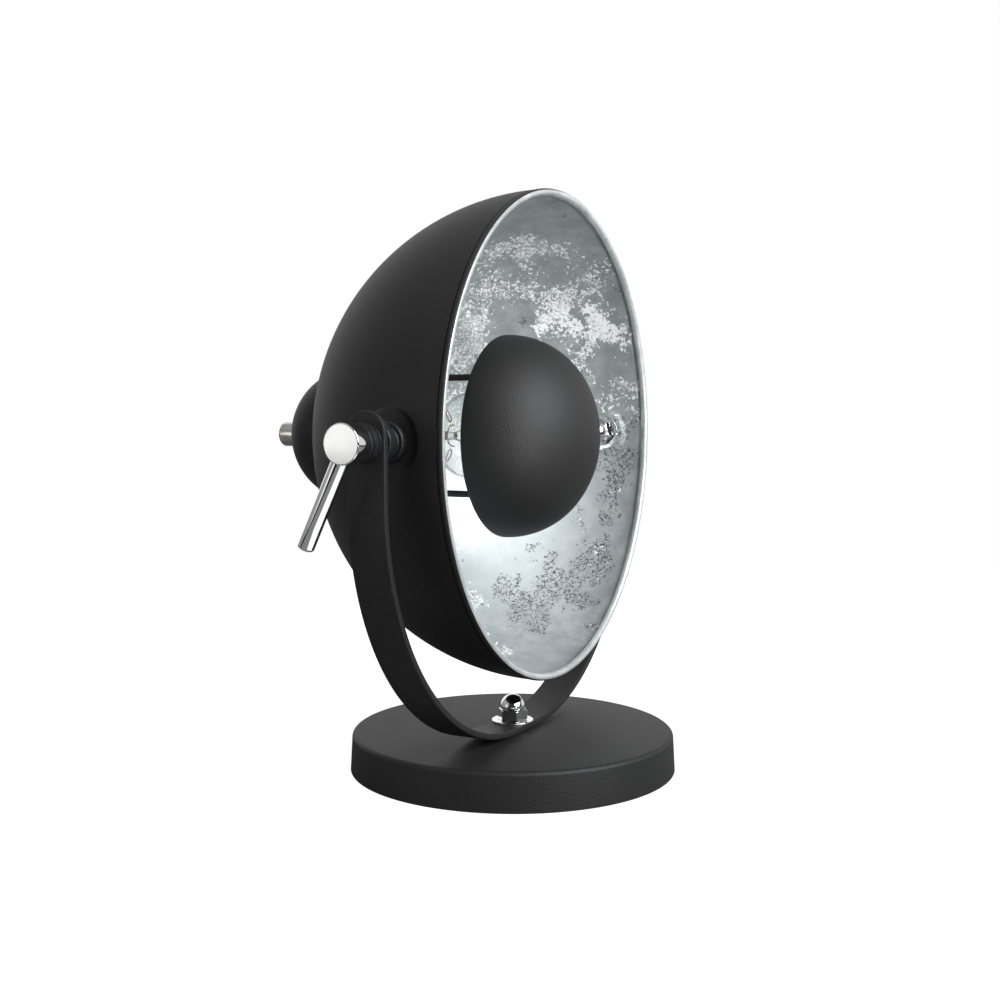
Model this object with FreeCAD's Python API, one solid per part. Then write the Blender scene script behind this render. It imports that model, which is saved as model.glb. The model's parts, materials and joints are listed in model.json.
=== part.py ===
import FreeCAD, Part

import math
import os

# Tabletop searchlight lamp, in millimetres. +Z is up and the origin is the middle of the underside.
# The lamp looks along -Y. The head tilts about a line parallel to X at pivot_height.

V = FreeCAD.Vector
X_AXIS = V(1, 0, 0)
Y_AXIS = V(0, 1, 0)
Z_AXIS = V(0, 0, 1)
ORIGIN = V(0, 0, 0)

# ---------------------------------------------------------------- driving dimensions
# base
base_bottom_radius = 80.0
base_taper = 1.0
base_height = 18.5
base_edge_radius = 2.2
cover_wall = 1.5
cover_lift = 0.2
pad_thickness = 1.8
pad_gap = 2.5
weight_gap = 3.0
weight_thickness = 9.0
weight_edge_radius = 1.5
boss_radius = 17.0

# M8 hardware
bolt_radius = 4.0
nut_across_flats = 13.0
nut_hex_height = 5.6
nut_dome_radius = 6.25
nut_height = 12.6
nut_thread_depth = 9.5
bolt_head_height = 5.3
washer_hole_radius = 4.2
base_washer_radius = 10.35
base_washer_thickness = 1.0
swivel_washer_radius = 8.8
swivel_washer_thickness = 0.5
base_nut_turn = 12.0
inner_nut_turn = 18.0

# yoke
under_shade_gap = 11.2
seat_to_strap = 16.6
yoke_flat_half = 11.0
strap_thickness = 3.0
strap_width = 18.0
arm_above_pivot = 13.0

# shade
shade_radius = 116.2
shade_centre_y = -23.7
shade_wall = 1.2
rim_offset = 25.1
bead_radius = 1.7
bead_proud = 0.2
seat_radius = 13.0
seat_press = 0.36

# pivot stack, from the shade outwards
inner_washer_radius = 10.0
inner_washer_thickness = 1.2
spacer_flange_radius = 8.7
spacer_flange_thickness = 3.6
spacer_neck_radius = 6.5
friction_washer_radius = 10.0
friction_washer_thickness = 4.2
hub_radius = 8.1
hub_length = 8.0
hub_groove_offsets = (1.5, 5.4)
hub_groove_width = 0.8
hub_groove_depth = 0.7

# levers
lever_head_radius = 8.3
lever_head_length = 9.4
lever_head_chamfer = 0.5
lever_end_wall = 2.6
lever_rod_radius = 3.5
lever_rod_reach = 47.0
lever_rod_socket = 3.3
lever_rod_rounding = 1.3
lever_angle = 26.0

# small dome in front of the bulb
dome_radius = 49.4
dome_depth = 44.0
dome_crown_radius = 54.5
dome_wall = 1.2
dome_rim_y = 2.2
rod_radius = 1.65
rod_spacing = 58.0
rod_rivet_length = 0.5
rod_nut_across_flats = 6.0
rod_nut_thickness = 2.0

# rear cap and cord gland
cap_radius = 35.1
cap_skirt = 1.4
cap_wall = 1.2
cap_flat_radius = 8.0
gland_radius = 6.45
gland_length = 13.5
gland_rounding = 1.4
gland_bore_radius = 3.25
tube_radius = 5.0
tube_bore_radius = 3.5
tube_grip = 5.0
tube_nut_across_flats = 14.0

# lamp holder and its bracket
bracket_thickness = 2.0
bracket_width = 14.0
bracket_end_margin = 5.0
bracket_gap = 0.8
holder_length = 31.3
holder_collar_length = 18.8
holder_radius = 20.0
holder_waist_radius = 17.5
holder_mouth_radius = 16.4
holder_floor = 6.3
holder_edge_radius = 1.5
holder_screw_spacing = 24.0
holder_screw_radius = 1.5
holder_screw_head_radius = 2.8
holder_screw_head_height = 1.8
holder_screw_grip = 4.5
screw_shell_radius = 14.3
screw_shell_wall = 0.5
screw_shell_length = 24.0
screw_shell_lip = 2.0
contact_width = 4.6
contact_foot = 8.2

# E27 bulb
globe_radius = 22.5
glass_wall = 0.8
neck_radius = 12.3
globe_to_shell = 30.0
neck_blend_radius = 5.0
neck_insert = 2.5
cap_shell_radius = 13.2
cap_shell_wall = 0.4
cap_shell_length = 22.0
cap_cone_length = 3.6
cap_cone_radius = 6.6
cap_tip_radius = 4.6
cap_tip_length = 1.0
cap_tip_depth = 2.0
cap_stand_out = 3.0
stem_radius = 4.2
stem_tip_radius = 2.5
stem_length = 20.0
stem_taper = 8.0
stem_flare = 5.0
wire_radius = 0.35
wire_foot_offset = 1.7
wire_joint_radius = 0.45
filament_span = 16.0
filament_rise = 12.0

# clearances
running_clearance = 0.1
hole_clearance = 0.2
cut_margin = 1.0

# ---------------------------------------------------------------- sizes that follow
base_top_radius = base_bottom_radius - base_taper
pad_radius = base_bottom_radius - cover_wall - pad_gap
weight_radius = base_top_radius - cover_wall - weight_gap
strap_bottom = base_height + swivel_washer_thickness
strap_top = strap_bottom + strap_thickness
base_nut_bottom = strap_top + base_washer_thickness
pivot_height = base_nut_bottom + nut_height + under_shade_gap + shade_radius
seat_plane = math.sqrt(shade_radius**2 - shade_centre_y**2) - seat_press
seat_inside = seat_plane - shade_wall
yoke_half_width = seat_plane + seat_to_strap
bend_radius = yoke_half_width - yoke_flat_half
strap_inside = yoke_half_width - strap_thickness / 2
strap_outside = yoke_half_width + strap_thickness / 2
friction_washer_start = strap_inside - friction_washer_thickness
hub_end = strap_outside + hub_length
lever_face = hub_end + lever_head_length
lever_axis_x = hub_end + lever_head_length / 2
running_radius = bolt_radius + running_clearance
tube_hole_radius = tube_radius + hole_clearance
rod_offset = rod_spacing / 2


def ball_y(radius, at_radius):
    """Y of the back of a ball around the shade's centre, at a distance from its axis."""
    return shade_centre_y + math.sqrt(radius**2 - at_radius**2)


shade_inner_radius = shade_radius - shade_wall
cap_rim_y = ball_y(shade_radius, cap_radius - cap_wall)
cap_centre_y = cap_rim_y + cap_skirt
cap_flat_y = cap_centre_y + math.sqrt(cap_radius**2 - cap_flat_radius**2)
bracket_half_length = rod_offset + bracket_end_margin
bracket_back_y = ball_y(shade_inner_radius, bracket_half_length) - bracket_gap
bracket_front_y = bracket_back_y - bracket_thickness
holder_front_y = bracket_front_y - holder_length
holder_floor_y = bracket_front_y - holder_floor
gland_end_y = cap_flat_y + gland_length
tube_end_y = cap_flat_y + tube_grip
bulb_shell_front_y = holder_front_y - cap_stand_out
bulb_shell_back_y = bulb_shell_front_y + cap_shell_length
bulb_tip_y = bulb_shell_back_y + cap_cone_length + cap_tip_length
globe_centre_y = bulb_shell_front_y - globe_to_shell


# ---------------------------------------------------------------- shape helpers
def rod(radius, start, end):
    """Round bar between two points."""
    return Part.makeCylinder(radius, (end - start).Length, start, end - start)


def ring(outer_radius, inner_radius, start, end):
    """Round bar with a round hole from end to end."""
    return rod(outer_radius, start, end).cut(rod(inner_radius, start, end))


def hexagon(across_flats, start, length):
    """Upright hexagonal bar standing on start, with one pair of flats facing along X."""
    corner = across_flats / math.sqrt(3)
    points = []
    for step in range(7):
        angle = math.radians(60 * step + 30)
        points.append(start + V(corner * math.cos(angle), corner * math.sin(angle), 0))
    return Part.Face(Part.makePolygon(points)).extrude(V(0, 0, length))


def line(start, end):
    """Straight edge between two points."""
    return Part.LineSegment(start, end).toShape()


def arc(start, middle, end):
    """Circular edge through three points."""
    return Part.Arc(start, middle, end).toShape()


def spin(edges, axis=Y_AXIS):
    """Solid of revolution of a closed outline about an axis through the origin."""
    return Part.Face(Part.Wire(edges)).revolve(ORIGIN, axis, 360)


def spin_polygon(points, axis=Y_AXIS):
    """Solid of revolution of a closed polygon about an axis through the origin."""
    return Part.Face(Part.makePolygon(points + [points[0]])).revolve(ORIGIN, axis, 360)


def filled_ball(radius, centre_y, front_y):
    """Ball centred on Y, with everything in front of front_y taken away."""
    rim = V(math.sqrt(radius**2 - (front_y - centre_y) ** 2), front_y, 0)
    front = V(0, front_y, 0)
    apex = V(0, centre_y + radius, 0)
    shoulder = V(radius * math.sqrt(0.5), centre_y + radius * math.sqrt(0.5), 0)
    return spin([arc(rim, shoulder, apex), line(apex, front), line(front, rim)])


def filled_small_dome(shrink):
    """Flattened dome that points along -Y: a round side that runs tangent into its crown."""
    radius = dome_radius - shrink
    depth = dome_depth - shrink
    crown = dome_crown_radius - shrink
    side = (radius**2 + depth**2 - 2 * crown * depth) / (2 * (radius - crown))
    side_centre = V(radius - side, dome_rim_y, 0)
    crown_centre = V(0, dome_rim_y - depth + crown, 0)
    towards_side = (side_centre - crown_centre).normalize()
    join = crown_centre + towards_side * crown
    rim = V(radius, dome_rim_y, 0)
    centre = V(0, dome_rim_y, 0)
    apex = V(0, dome_rim_y - depth, 0)
    side_middle = side_centre + (X_AXIS + towards_side).normalize() * side
    crown_middle = crown_centre + (towards_side - Y_AXIS).normalize() * crown
    edges = [arc(rim, side_middle, join), arc(join, crown_middle, apex)]
    return spin(edges + [line(apex, centre), line(centre, rim)])


def turned_bar(steps):
    """Stepped bar about Y from (radius, y) corners that start and end on the axis."""
    return spin_polygon([V(radius, y, 0) for radius, y in steps])


def round_edges(shape, radius):
    """Full circular edges of one radius."""
    found = []
    for edge in shape.Edges:
        curve = edge.Curve
        if isinstance(curve, Part.Circle) and abs(curve.Radius - radius) < 1e-4:
            found.append(edge)
    return found


def along_x(shape):
    """Turn a shape built upright so that its +Z points along -X."""
    turned = shape.copy()
    turned.rotate(ORIGIN, Y_AXIS, -90)
    return turned


def on_head(shape):
    """Lift a shape built about the tilt axis to its place."""
    lifted = shape.copy()
    lifted.translate(V(0, 0, pivot_height))
    return lifted


def left_of(shape):
    """Mirror image on the other side of the lamp."""
    return shape.mirror(ORIGIN, X_AXIS)


# ---------------------------------------------------------------- M8 hardware
def dome_nut():
    """Domed cap nut standing on z = 0."""
    corner = nut_across_flats / math.sqrt(3)
    chamfer = corner - nut_across_flats / 2
    hexagon_part = hexagon(nut_across_flats, ORIGIN, nut_hex_height)
    turned = spin_polygon(
        [
            ORIGIN,
            V(nut_across_flats / 2, 0, 0),
            V(corner, 0, chamfer / 2),
            V(corner, 0, nut_hex_height - chamfer),
            V(nut_across_flats / 2, 0, nut_hex_height),
            V(0, 0, nut_hex_height),
        ],
        Z_AXIS,
    )
    crown = Part.makeSphere(nut_dome_radius, V(0, 0, nut_height - nut_dome_radius))
    crown = crown.common(Part.makeCylinder(corner, nut_height, V(0, 0, nut_hex_height / 2)))
    thread = Part.makeCylinder(bolt_radius, nut_thread_depth)
    return hexagon_part.common(turned).fuse(crown).cut(thread).removeSplitter()


# ---------------------------------------------------------------- base
def base_cover():
    """Pressed steel cup with a rounded upper edge and a bolt hole."""

    def outline(side_bottom, side_top, top, corner_radius, bottom):
        bend = corner_radius * math.sqrt(0.5)
        centre = V(side_top - corner_radius, 0, top - corner_radius)
        return [
            line(V(0, 0, bottom), V(side_bottom, 0, bottom)),
            line(V(side_bottom, 0, bottom), V(side_top, 0, top - corner_radius)),
            arc(
                V(side_top, 0, top - corner_radius),
                centre + V(bend, 0, bend),
                V(side_top - corner_radius, 0, top),
            ),
            line(V(side_top - corner_radius, 0, top), V(0, 0, top)),
            line(V(0, 0, top), V(0, 0, bottom)),
        ]

    outer = spin(
        outline(base_bottom_radius, base_top_radius, base_height, base_edge_radius, cover_lift),
        Z_AXIS,
    )
    inner = spin(
        outline(
            base_bottom_radius - cover_wall,
            base_top_radius - cover_wall,
            base_height - cover_wall,
            base_edge_radius - cover_wall / 2,
            cover_lift,
        ),
        Z_AXIS,
    )
    bolt_hole = rod(bolt_radius + hole_clearance, ORIGIN, V(0, 0, base_height + cut_margin))
    return outer.cut(inner).cut(bolt_hole)


def base_weight():
    """Cast ballast disc with a boss that carries the cover and a pocket for the bolt head."""
    disc = rod(weight_radius, V(0, 0, pad_thickness), V(0, 0, pad_thickness + weight_thickness))
    disc = disc.makeFillet(weight_edge_radius, round_edges(disc, weight_radius))
    boss = rod(boss_radius, V(0, 0, pad_thickness), V(0, 0, base_height - cover_wall))
    pocket_radius = nut_across_flats / math.sqrt(3) + hole_clearance
    pocket_top = pad_thickness + bolt_head_height + hole_clearance
    pocket = rod(pocket_radius, V(0, 0, pad_thickness), V(0, 0, pocket_top))
    bolt_hole = rod(bolt_radius + hole_clearance, ORIGIN, V(0, 0, base_height))
    return disc.fuse(boss).cut(pocket).cut(bolt_hole).removeSplitter()


def base_pad():
    """Soft disc under the weight."""
    return rod(pad_radius, ORIGIN, V(0, 0, pad_thickness))


def base_bolt():
    """Hexagon bolt, head in the weight's pocket, end inside the dome nut."""
    head_bottom = pad_thickness + hole_clearance
    shank_top = base_nut_bottom + nut_thread_depth - hole_clearance
    head = hexagon(nut_across_flats, V(0, 0, head_bottom), bolt_head_height)
    shank = rod(bolt_radius, V(0, 0, head_bottom), V(0, 0, shank_top))
    return head.fuse(shank).removeSplitter()


def swivel_washer():
    """Thin plastic washer between cover and yoke."""
    bottom = V(0, 0, base_height)
    return ring(swivel_washer_radius, washer_hole_radius, bottom, V(0, 0, strap_bottom))


def base_washer():
    """Wide washer on the strap."""
    top = V(0, 0, base_nut_bottom)
    return ring(base_washer_radius, washer_hole_radius, V(0, 0, strap_top), top)


def base_dome_nut():
    """Dome nut that holds yoke and base together."""
    nut = dome_nut()
    nut.rotate(ORIGIN, Z_AXIS, base_nut_turn)
    nut.translate(V(0, 0, base_nut_bottom))
    return nut


# ---------------------------------------------------------------- yoke
def yoke():
    """Strap bent to a flat-bottomed U, with rounded arm ends and three bolt holes."""
    arm_top = pivot_height + arm_above_pivot
    bend_z = strap_bottom + strap_thickness / 2 + bend_radius

    def strap_edges(offset):
        """One face of the strap, from the left arm's end to the right arm's end."""
        radius = bend_radius + offset
        arm_x = yoke_half_width + offset
        bottom_z = bend_z - radius
        diagonal = radius * math.sqrt(0.5)
        right_middle = V(yoke_flat_half + diagonal, 0, bend_z - diagonal)
        left_middle = V(-yoke_flat_half - diagonal, 0, bend_z - diagonal)
        return [
            line(V(-arm_x, 0, arm_top), V(-arm_x, 0, bend_z)),
            arc(V(-arm_x, 0, bend_z), left_middle, V(-yoke_flat_half, 0, bottom_z)),
            line(V(-yoke_flat_half, 0, bottom_z), V(yoke_flat_half, 0, bottom_z)),
            arc(V(yoke_flat_half, 0, bottom_z), right_middle, V(arm_x, 0, bend_z)),
            line(V(arm_x, 0, bend_z), V(arm_x, 0, arm_top)),
        ]

    edges = strap_edges(strap_thickness / 2) + strap_edges(-strap_thickness / 2)
    for side in (-1, 1):
        edges.append(
            line(V(side * strap_inside, 0, arm_top), V(side * strap_outside, 0, arm_top))
        )
    outline = Part.Face(Part.Wire(Part.__sortEdges__(edges)))
    outline.translate(V(0, -strap_width / 2, 0))
    strap = outline.extrude(V(0, strap_width, 0))

    half = strap_width / 2
    round_z = arm_top - half
    silhouette = Part.Face(
        Part.Wire(
            [
                line(V(0, -half, 0), V(0, half, 0)),
                line(V(0, half, 0), V(0, half, round_z)),
                arc(V(0, half, round_z), V(0, 0, arm_top), V(0, -half, round_z)),
                line(V(0, -half, round_z), V(0, -half, 0)),
            ]
        )
    )
    reach = strap_outside + cut_margin
    silhouette.translate(V(-reach, 0, 0))
    strap = strap.common(silhouette.extrude(V(2 * reach, 0, 0)))
    pivot_holes = rod(running_radius, V(-reach, 0, pivot_height), V(reach, 0, pivot_height))
    swivel_hole = rod(running_radius, ORIGIN, V(0, 0, strap_top + cut_margin))
    return strap.cut(pivot_holes).cut(swivel_hole)


# ---------------------------------------------------------------- pivot stack, right side
def inner_washer():
    """Washer between the shade's seat and the inner dome nut."""
    start = V(seat_inside - inner_washer_thickness, 0, 0)
    return ring(inner_washer_radius, washer_hole_radius, start, V(seat_inside, 0, 0))


def inner_nut():
    """Dome nut inside the shade."""
    nut = along_x(dome_nut())
    nut.rotate(ORIGIN, X_AXIS, inner_nut_turn)
    nut.translate(V(seat_inside - inner_washer_thickness, 0, 0))
    return nut


def spacer():
    """Flanged bush between the shade and the yoke."""
    flange_end = V(seat_plane + spacer_flange_thickness, 0, 0)
    flange = rod(spacer_flange_radius, V(seat_plane, 0, 0), flange_end)
    neck = rod(spacer_neck_radius, V(seat_plane, 0, 0), V(friction_washer_start, 0, 0))
    bore = rod(running_radius, V(seat_plane, 0, 0), V(friction_washer_start, 0, 0))
    return flange.fuse(neck).cut(bore).removeSplitter()


def friction_washer():
    """Disc that the lever presses the strap against."""
    start = V(friction_washer_start, 0, 0)
    return ring(friction_washer_radius, running_radius, start, V(strap_inside, 0, 0))


def hub():
    """Grooved boss outside the strap."""
    body = ring(hub_radius, running_radius, V(strap_outside, 0, 0), V(hub_end, 0, 0))
    for offset in hub_groove_offsets:
        middle = strap_outside + offset
        start = V(middle - hub_groove_width / 2, 0, 0)
        end = V(middle + hub_groove_width / 2, 0, 0)
        body = body.cut(ring(hub_radius + cut_margin, hub_radius - hub_groove_depth, start, end))
    return body


def pivot_stud():
    """Stud from the inner dome nut to the inside of the lever's barrel."""
    start = seat_inside - inner_washer_thickness - nut_thread_depth + hole_clearance
    end = lever_face - lever_end_wall - hole_clearance
    return rod(bolt_radius, V(start, 0, 0), V(end, 0, 0))


# ---------------------------------------------------------------- levers, right side
def lever_direction():
    """Direction in which a lever's rod points, down and to the back."""
    angle = math.radians(lever_angle)
    return V(0, math.sin(angle), -math.cos(angle))


def lever_rod():
    """Round rod with a rounded free end, seated in the barrel's socket."""
    axis_point = V(lever_axis_x, 0, 0)
    start = axis_point + lever_direction() * (lever_head_radius - lever_rod_socket)
    end = axis_point + lever_direction() * lever_rod_reach
    bar = rod(lever_rod_radius, start, end)
    free_end = []
    for edge in round_edges(bar, lever_rod_radius):
        if (edge.Curve.Center - end).Length < 1e-4:
            free_end.append(edge)
    return bar.makeFillet(lever_rod_rounding, free_end)


def lever_head():
    """Barrel with a blind bore for the stud and a side socket for the rod."""
    barrel = rod(lever_head_radius, V(hub_end, 0, 0), V(lever_face, 0, 0))
    barrel = barrel.makeChamfer(lever_head_chamfer, round_edges(barrel, lever_head_radius))
    bore = rod(running_radius, V(hub_end, 0, 0), V(lever_face - lever_end_wall, 0, 0))
    axis_point = V(lever_axis_x, 0, 0)
    socket_bottom = axis_point + lever_direction() * (lever_head_radius - lever_rod_socket)
    socket_mouth = axis_point + lever_direction() * (lever_head_radius + cut_margin)
    return barrel.cut(bore).cut(rod(lever_rod_radius, socket_bottom, socket_mouth))


# ---------------------------------------------------------------- shade
def shade():
    """Spun shell with a rolled rim, two pressed seats, two pivot holes and a hole at the back."""
    outer = filled_ball(shade_radius, shade_centre_y, -rim_offset)
    inner = filled_ball(shade_inner_radius, shade_centre_y, -rim_offset)
    deep = seat_plane - 2 * seat_radius
    outside = shade_radius + cut_margin
    for side in (-1, 1):
        face = V(side * seat_plane, 0, 0)
        back = V(side * seat_inside, 0, 0)
        far = V(side * outside, 0, 0)
        root = V(side * deep, 0, 0)
        outer = outer.cut(rod(seat_radius, face, far)).fuse(rod(seat_radius, root, face))
        inner = inner.cut(rod(seat_radius + shade_wall, back, far))
        inner = inner.fuse(rod(seat_radius - shade_wall, root, back))
    shell = outer.cut(inner)
    bead_centre = shade_radius + bead_proud - bead_radius
    bead = Part.makeTorus(bead_centre, bead_radius, V(0, -rim_offset, 0), Y_AXIS)
    pivot_holes = rod(running_radius, V(-outside, 0, 0), V(outside, 0, 0))
    tube_hole = rod(tube_hole_radius, ORIGIN, V(0, shade_radius, 0))
    return shell.fuse(bead).cut(pivot_holes).cut(tube_hole).removeSplitter()


# ---------------------------------------------------------------- rear cap, tube and gland
def filled_cap(shrink):
    """Half ball on a short straight skirt."""
    radius = cap_radius - shrink
    front = V(0, cap_rim_y, 0)
    rim = V(radius, cap_rim_y, 0)
    side = V(radius, cap_centre_y, 0)
    shoulder = V(radius * math.sqrt(0.5), cap_centre_y + radius * math.sqrt(0.5), 0)
    apex = V(0, cap_centre_y + radius, 0)
    return spin([line(front, rim), line(rim, side), arc(side, shoulder, apex), line(apex, front)])


def rear_cap():
    """Black dome behind the shade, flattened where the gland seats."""
    outer = filled_cap(0)
    inner = filled_cap(cap_wall)
    top = V(0, cap_centre_y + cap_radius + cut_margin, 0)
    outer = outer.cut(rod(cap_radius, V(0, cap_flat_y, 0), top))
    inner = inner.cut(rod(cap_radius, V(0, cap_flat_y - cap_wall, 0), top))
    return outer.cut(inner).cut(rod(tube_hole_radius, V(0, cap_rim_y, 0), top))


def threaded_tube():
    """Hollow tube on which holder, bracket, shade, cap and gland are stacked."""
    start = V(0, holder_floor_y, 0)
    return ring(tube_radius, tube_bore_radius, start, V(0, tube_end_y, 0))


def tube_nut():
    """Nut that clamps the bracket, seated against the inside of the shade."""
    corner = tube_nut_across_flats / math.sqrt(3)
    seat_y = ball_y(shade_inner_radius, corner)
    nut = hexagon(tube_nut_across_flats, ORIGIN, seat_y - bracket_back_y)
    nut.rotate(ORIGIN, X_AXIS, -90)
    nut.translate(V(0, bracket_back_y, 0))
    return nut.cut(rod(tube_radius, V(0, bracket_back_y, 0), V(0, seat_y, 0)))


def cord_gland():
    """Turned cord outlet: threaded on the tube, with a plain bore for the cord."""
    body = rod(gland_radius, V(0, cap_flat_y, 0), V(0, gland_end_y, 0))
    outer_edge = []
    for edge in round_edges(body, gland_radius):
        if abs(edge.Curve.Center.y - gland_end_y) < 1e-4:
            outer_edge.append(edge)
    body = body.makeFillet(gland_rounding, outer_edge)
    thread = rod(tube_radius, V(0, cap_flat_y, 0), V(0, tube_end_y, 0))
    bore = rod(gland_bore_radius, V(0, cap_flat_y, 0), V(0, gland_end_y, 0))
    return body.cut(thread).cut(bore)


# ---------------------------------------------------------------- small dome and its rods
def glare_dome():
    """Small dome that hides the bulb."""
    return filled_small_dome(0).cut(filled_small_dome(dome_wall))


def dome_rod(side):
    """Rod from the bracket to the inside of the small dome."""
    start = V(0, bracket_back_y + rod_rivet_length, side * rod_offset)
    end = V(0, dome_rim_y - dome_depth, side * rod_offset)
    inside = filled_small_dome(dome_wall)
    behind = rod(dome_radius, V(0, dome_rim_y, 0), V(0, start.y, 0))
    return rod(rod_radius, start, end).common(inside.fuse(behind)).removeSplitter()


def rod_nuts():
    """Small nuts that hold the rods in the bracket."""
    nuts = []
    for side in (-1, 1):
        nut = hexagon(rod_nut_across_flats, ORIGIN, rod_nut_thickness)
        nut = nut.cut(rod(rod_radius, ORIGIN, V(0, 0, rod_nut_thickness)))
        nut.rotate(ORIGIN, X_AXIS, 90)
        nut.translate(V(0, bracket_front_y, side * rod_offset))
        nuts.append(nut)
    return Part.makeCompound(nuts)


# ---------------------------------------------------------------- lamp holder
def holder_bracket():
    """Strip with rounded ends that carries the holder and the two rods."""
    half = bracket_width / 2
    straight = bracket_half_length - half
    strip = Part.Face(
        Part.Wire(
            [
                line(V(half, 0, -straight), V(half, 0, straight)),
                arc(V(half, 0, straight), V(0, 0, bracket_half_length), V(-half, 0, straight)),
                line(V(-half, 0, straight), V(-half, 0, -straight)),
                arc(V(-half, 0, -straight), V(0, 0, -bracket_half_length), V(half, 0, -straight)),
            ]
        )
    ).extrude(V(0, bracket_thickness, 0))
    far_side = bracket_thickness + cut_margin
    strip = strip.cut(rod(tube_hole_radius, V(0, -cut_margin, 0), V(0, far_side, 0)))
    holes = ((rod_offset, rod_radius), (holder_screw_spacing / 2, holder_screw_radius))
    for offset, radius in holes:
        for side in (-1, 1):
            start = V(0, -cut_margin, side * offset)
            strip = strip.cut(rod(radius, start, V(0, far_side, side * offset)))
    strip.translate(V(0, bracket_front_y, 0))
    return strip


def lamp_holder():
    """Moulded body with a step behind the mouth, open to the front."""
    step_y = holder_front_y + holder_collar_length
    shoulder_y = step_y + (holder_radius - holder_waist_radius)
    body = turned_bar(
        [
            (0, holder_front_y),
            (holder_radius, holder_front_y),
            (holder_radius, step_y),
            (holder_waist_radius, shoulder_y),
            (holder_waist_radius, bracket_front_y),
            (0, bracket_front_y),
        ]
    )
    mouth_edge = []
    for edge in round_edges(body, holder_radius):
        if abs(edge.Curve.Center.y - holder_front_y) < 1e-4:
            mouth_edge.append(edge)
    body = body.makeFillet(holder_edge_radius, mouth_edge)
    cavity = rod(holder_mouth_radius, V(0, holder_front_y, 0), V(0, holder_floor_y, 0))
    tube_socket = rod(tube_radius, V(0, holder_floor_y, 0), V(0, bracket_front_y, 0))
    body = body.cut(cavity).cut(tube_socket)
    for side in (-1, 1):
        offset = side * holder_screw_spacing / 2
        hole_end = V(0, bracket_front_y - holder_screw_grip, offset)
        body = body.cut(rod(holder_screw_radius, hole_end, V(0, bracket_front_y, offset)))
    return body


def holder_screws():
    """Two screws through the bracket into the holder's body."""
    screws = []
    for side in (-1, 1):
        offset = side * holder_screw_spacing / 2
        tip = V(0, bracket_front_y - holder_screw_grip, offset)
        seat = V(0, bracket_back_y, offset)
        top = V(0, bracket_back_y + holder_screw_head_height, offset)
        shank = rod(holder_screw_radius, tip, top)
        screws.append(shank.fuse(rod(holder_screw_head_radius, seat, top)).removeSplitter())
    return Part.makeCompound(screws)


def screw_shell():
    """Brass thread of the holder, with a flange that rests on the cavity's floor."""
    back = V(0, holder_floor_y, 0)
    front = V(0, holder_floor_y - screw_shell_length, 0)
    sleeve = ring(screw_shell_radius, screw_shell_radius - screw_shell_wall, front, back)
    flange_front = V(0, holder_floor_y - screw_shell_wall, 0)
    flange = ring(holder_mouth_radius, screw_shell_radius - screw_shell_lip, flange_front, back)
    return sleeve.fuse(flange).removeSplitter()


def centre_contact():
    """Spring tongue between the tube's end and the bulb's tip."""
    half_width = contact_width / 2
    gap = holder_floor_y - bulb_tip_y
    sheet = screw_shell_wall
    outline = [
        V(0, 0, contact_foot),
        V(0, -sheet, contact_foot),
        V(0, -sheet, tube_radius + sheet),
        V(0, -gap, half_width),
        V(0, -gap, -half_width),
        V(0, -gap + sheet, -half_width),
        V(0, -gap + sheet, half_width),
        V(0, 0, tube_radius + 2 * sheet),
    ]
    tongue = Part.Face(Part.makePolygon(outline + [outline[0]])).extrude(V(2 * half_width, 0, 0))
    tongue.translate(V(-half_width, holder_floor_y, 0))
    return tongue


# ---------------------------------------------------------------- bulb
def glass_outline(shrink):
    """Outline of the globe and neck, pulled in by shrink, with its flat end in the cap."""
    radius = globe_radius - shrink
    neck = neck_radius - shrink
    blend = neck_blend_radius + shrink
    end_y = bulb_shell_front_y + neck_insert
    blend_centre_x = neck + blend
    blend_centre_y = globe_centre_y + math.sqrt((radius + blend) ** 2 - blend_centre_x**2)
    globe_centre = V(0, globe_centre_y, 0)
    blend_centre = V(blend_centre_x, blend_centre_y, 0)
    towards_blend = (blend_centre - globe_centre).normalize()
    join = globe_centre + towards_blend * radius
    neck_start = V(neck, blend_centre_y, 0)
    towards_middle = ((join - blend_centre) + (neck_start - blend_centre)).normalize()
    front = V(0, globe_centre_y - radius, 0)
    return [
        arc(front, V(radius, globe_centre_y, 0), join),
        arc(join, blend_centre + towards_middle * blend, neck_start),
        line(neck_start, V(neck, end_y, 0)),
        line(V(neck, end_y, 0), V(0, end_y, 0)),
        line(V(0, end_y, 0), front),
    ]


def bulb_glass():
    """Clear globe with a neck, open where it is cemented into the cap."""
    return spin(glass_outline(0)).cut(spin(glass_outline(glass_wall)))


def bulb_cap():
    """Brass shell with a lip over the glass neck and a closed cone at the back."""
    wall = cap_shell_wall
    cone_back_y = bulb_shell_back_y + cap_cone_length
    profile = [
        (cap_shell_radius, bulb_shell_front_y),
        (cap_shell_radius, bulb_shell_back_y),
        (cap_cone_radius, cone_back_y - wall),
        (cap_cone_radius - wall, cone_back_y - wall),
        (cap_shell_radius - wall, bulb_shell_back_y),
        (cap_shell_radius - wall, bulb_shell_front_y),
    ]
    return spin_polygon([V(radius, y, 0) for radius, y in profile])


def bulb_contact():
    """Glass insulator with the centre contact on it."""
    cone_back_y = bulb_shell_back_y + cap_cone_length
    return turned_bar(
        [
            (0, cone_back_y - cap_tip_depth),
            (cap_cone_radius - cap_shell_wall, cone_back_y - cap_shell_wall),
            (cap_cone_radius - cap_shell_wall, cone_back_y),
            (cap_tip_radius, bulb_tip_y),
            (0, bulb_tip_y),
        ]
    )


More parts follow.
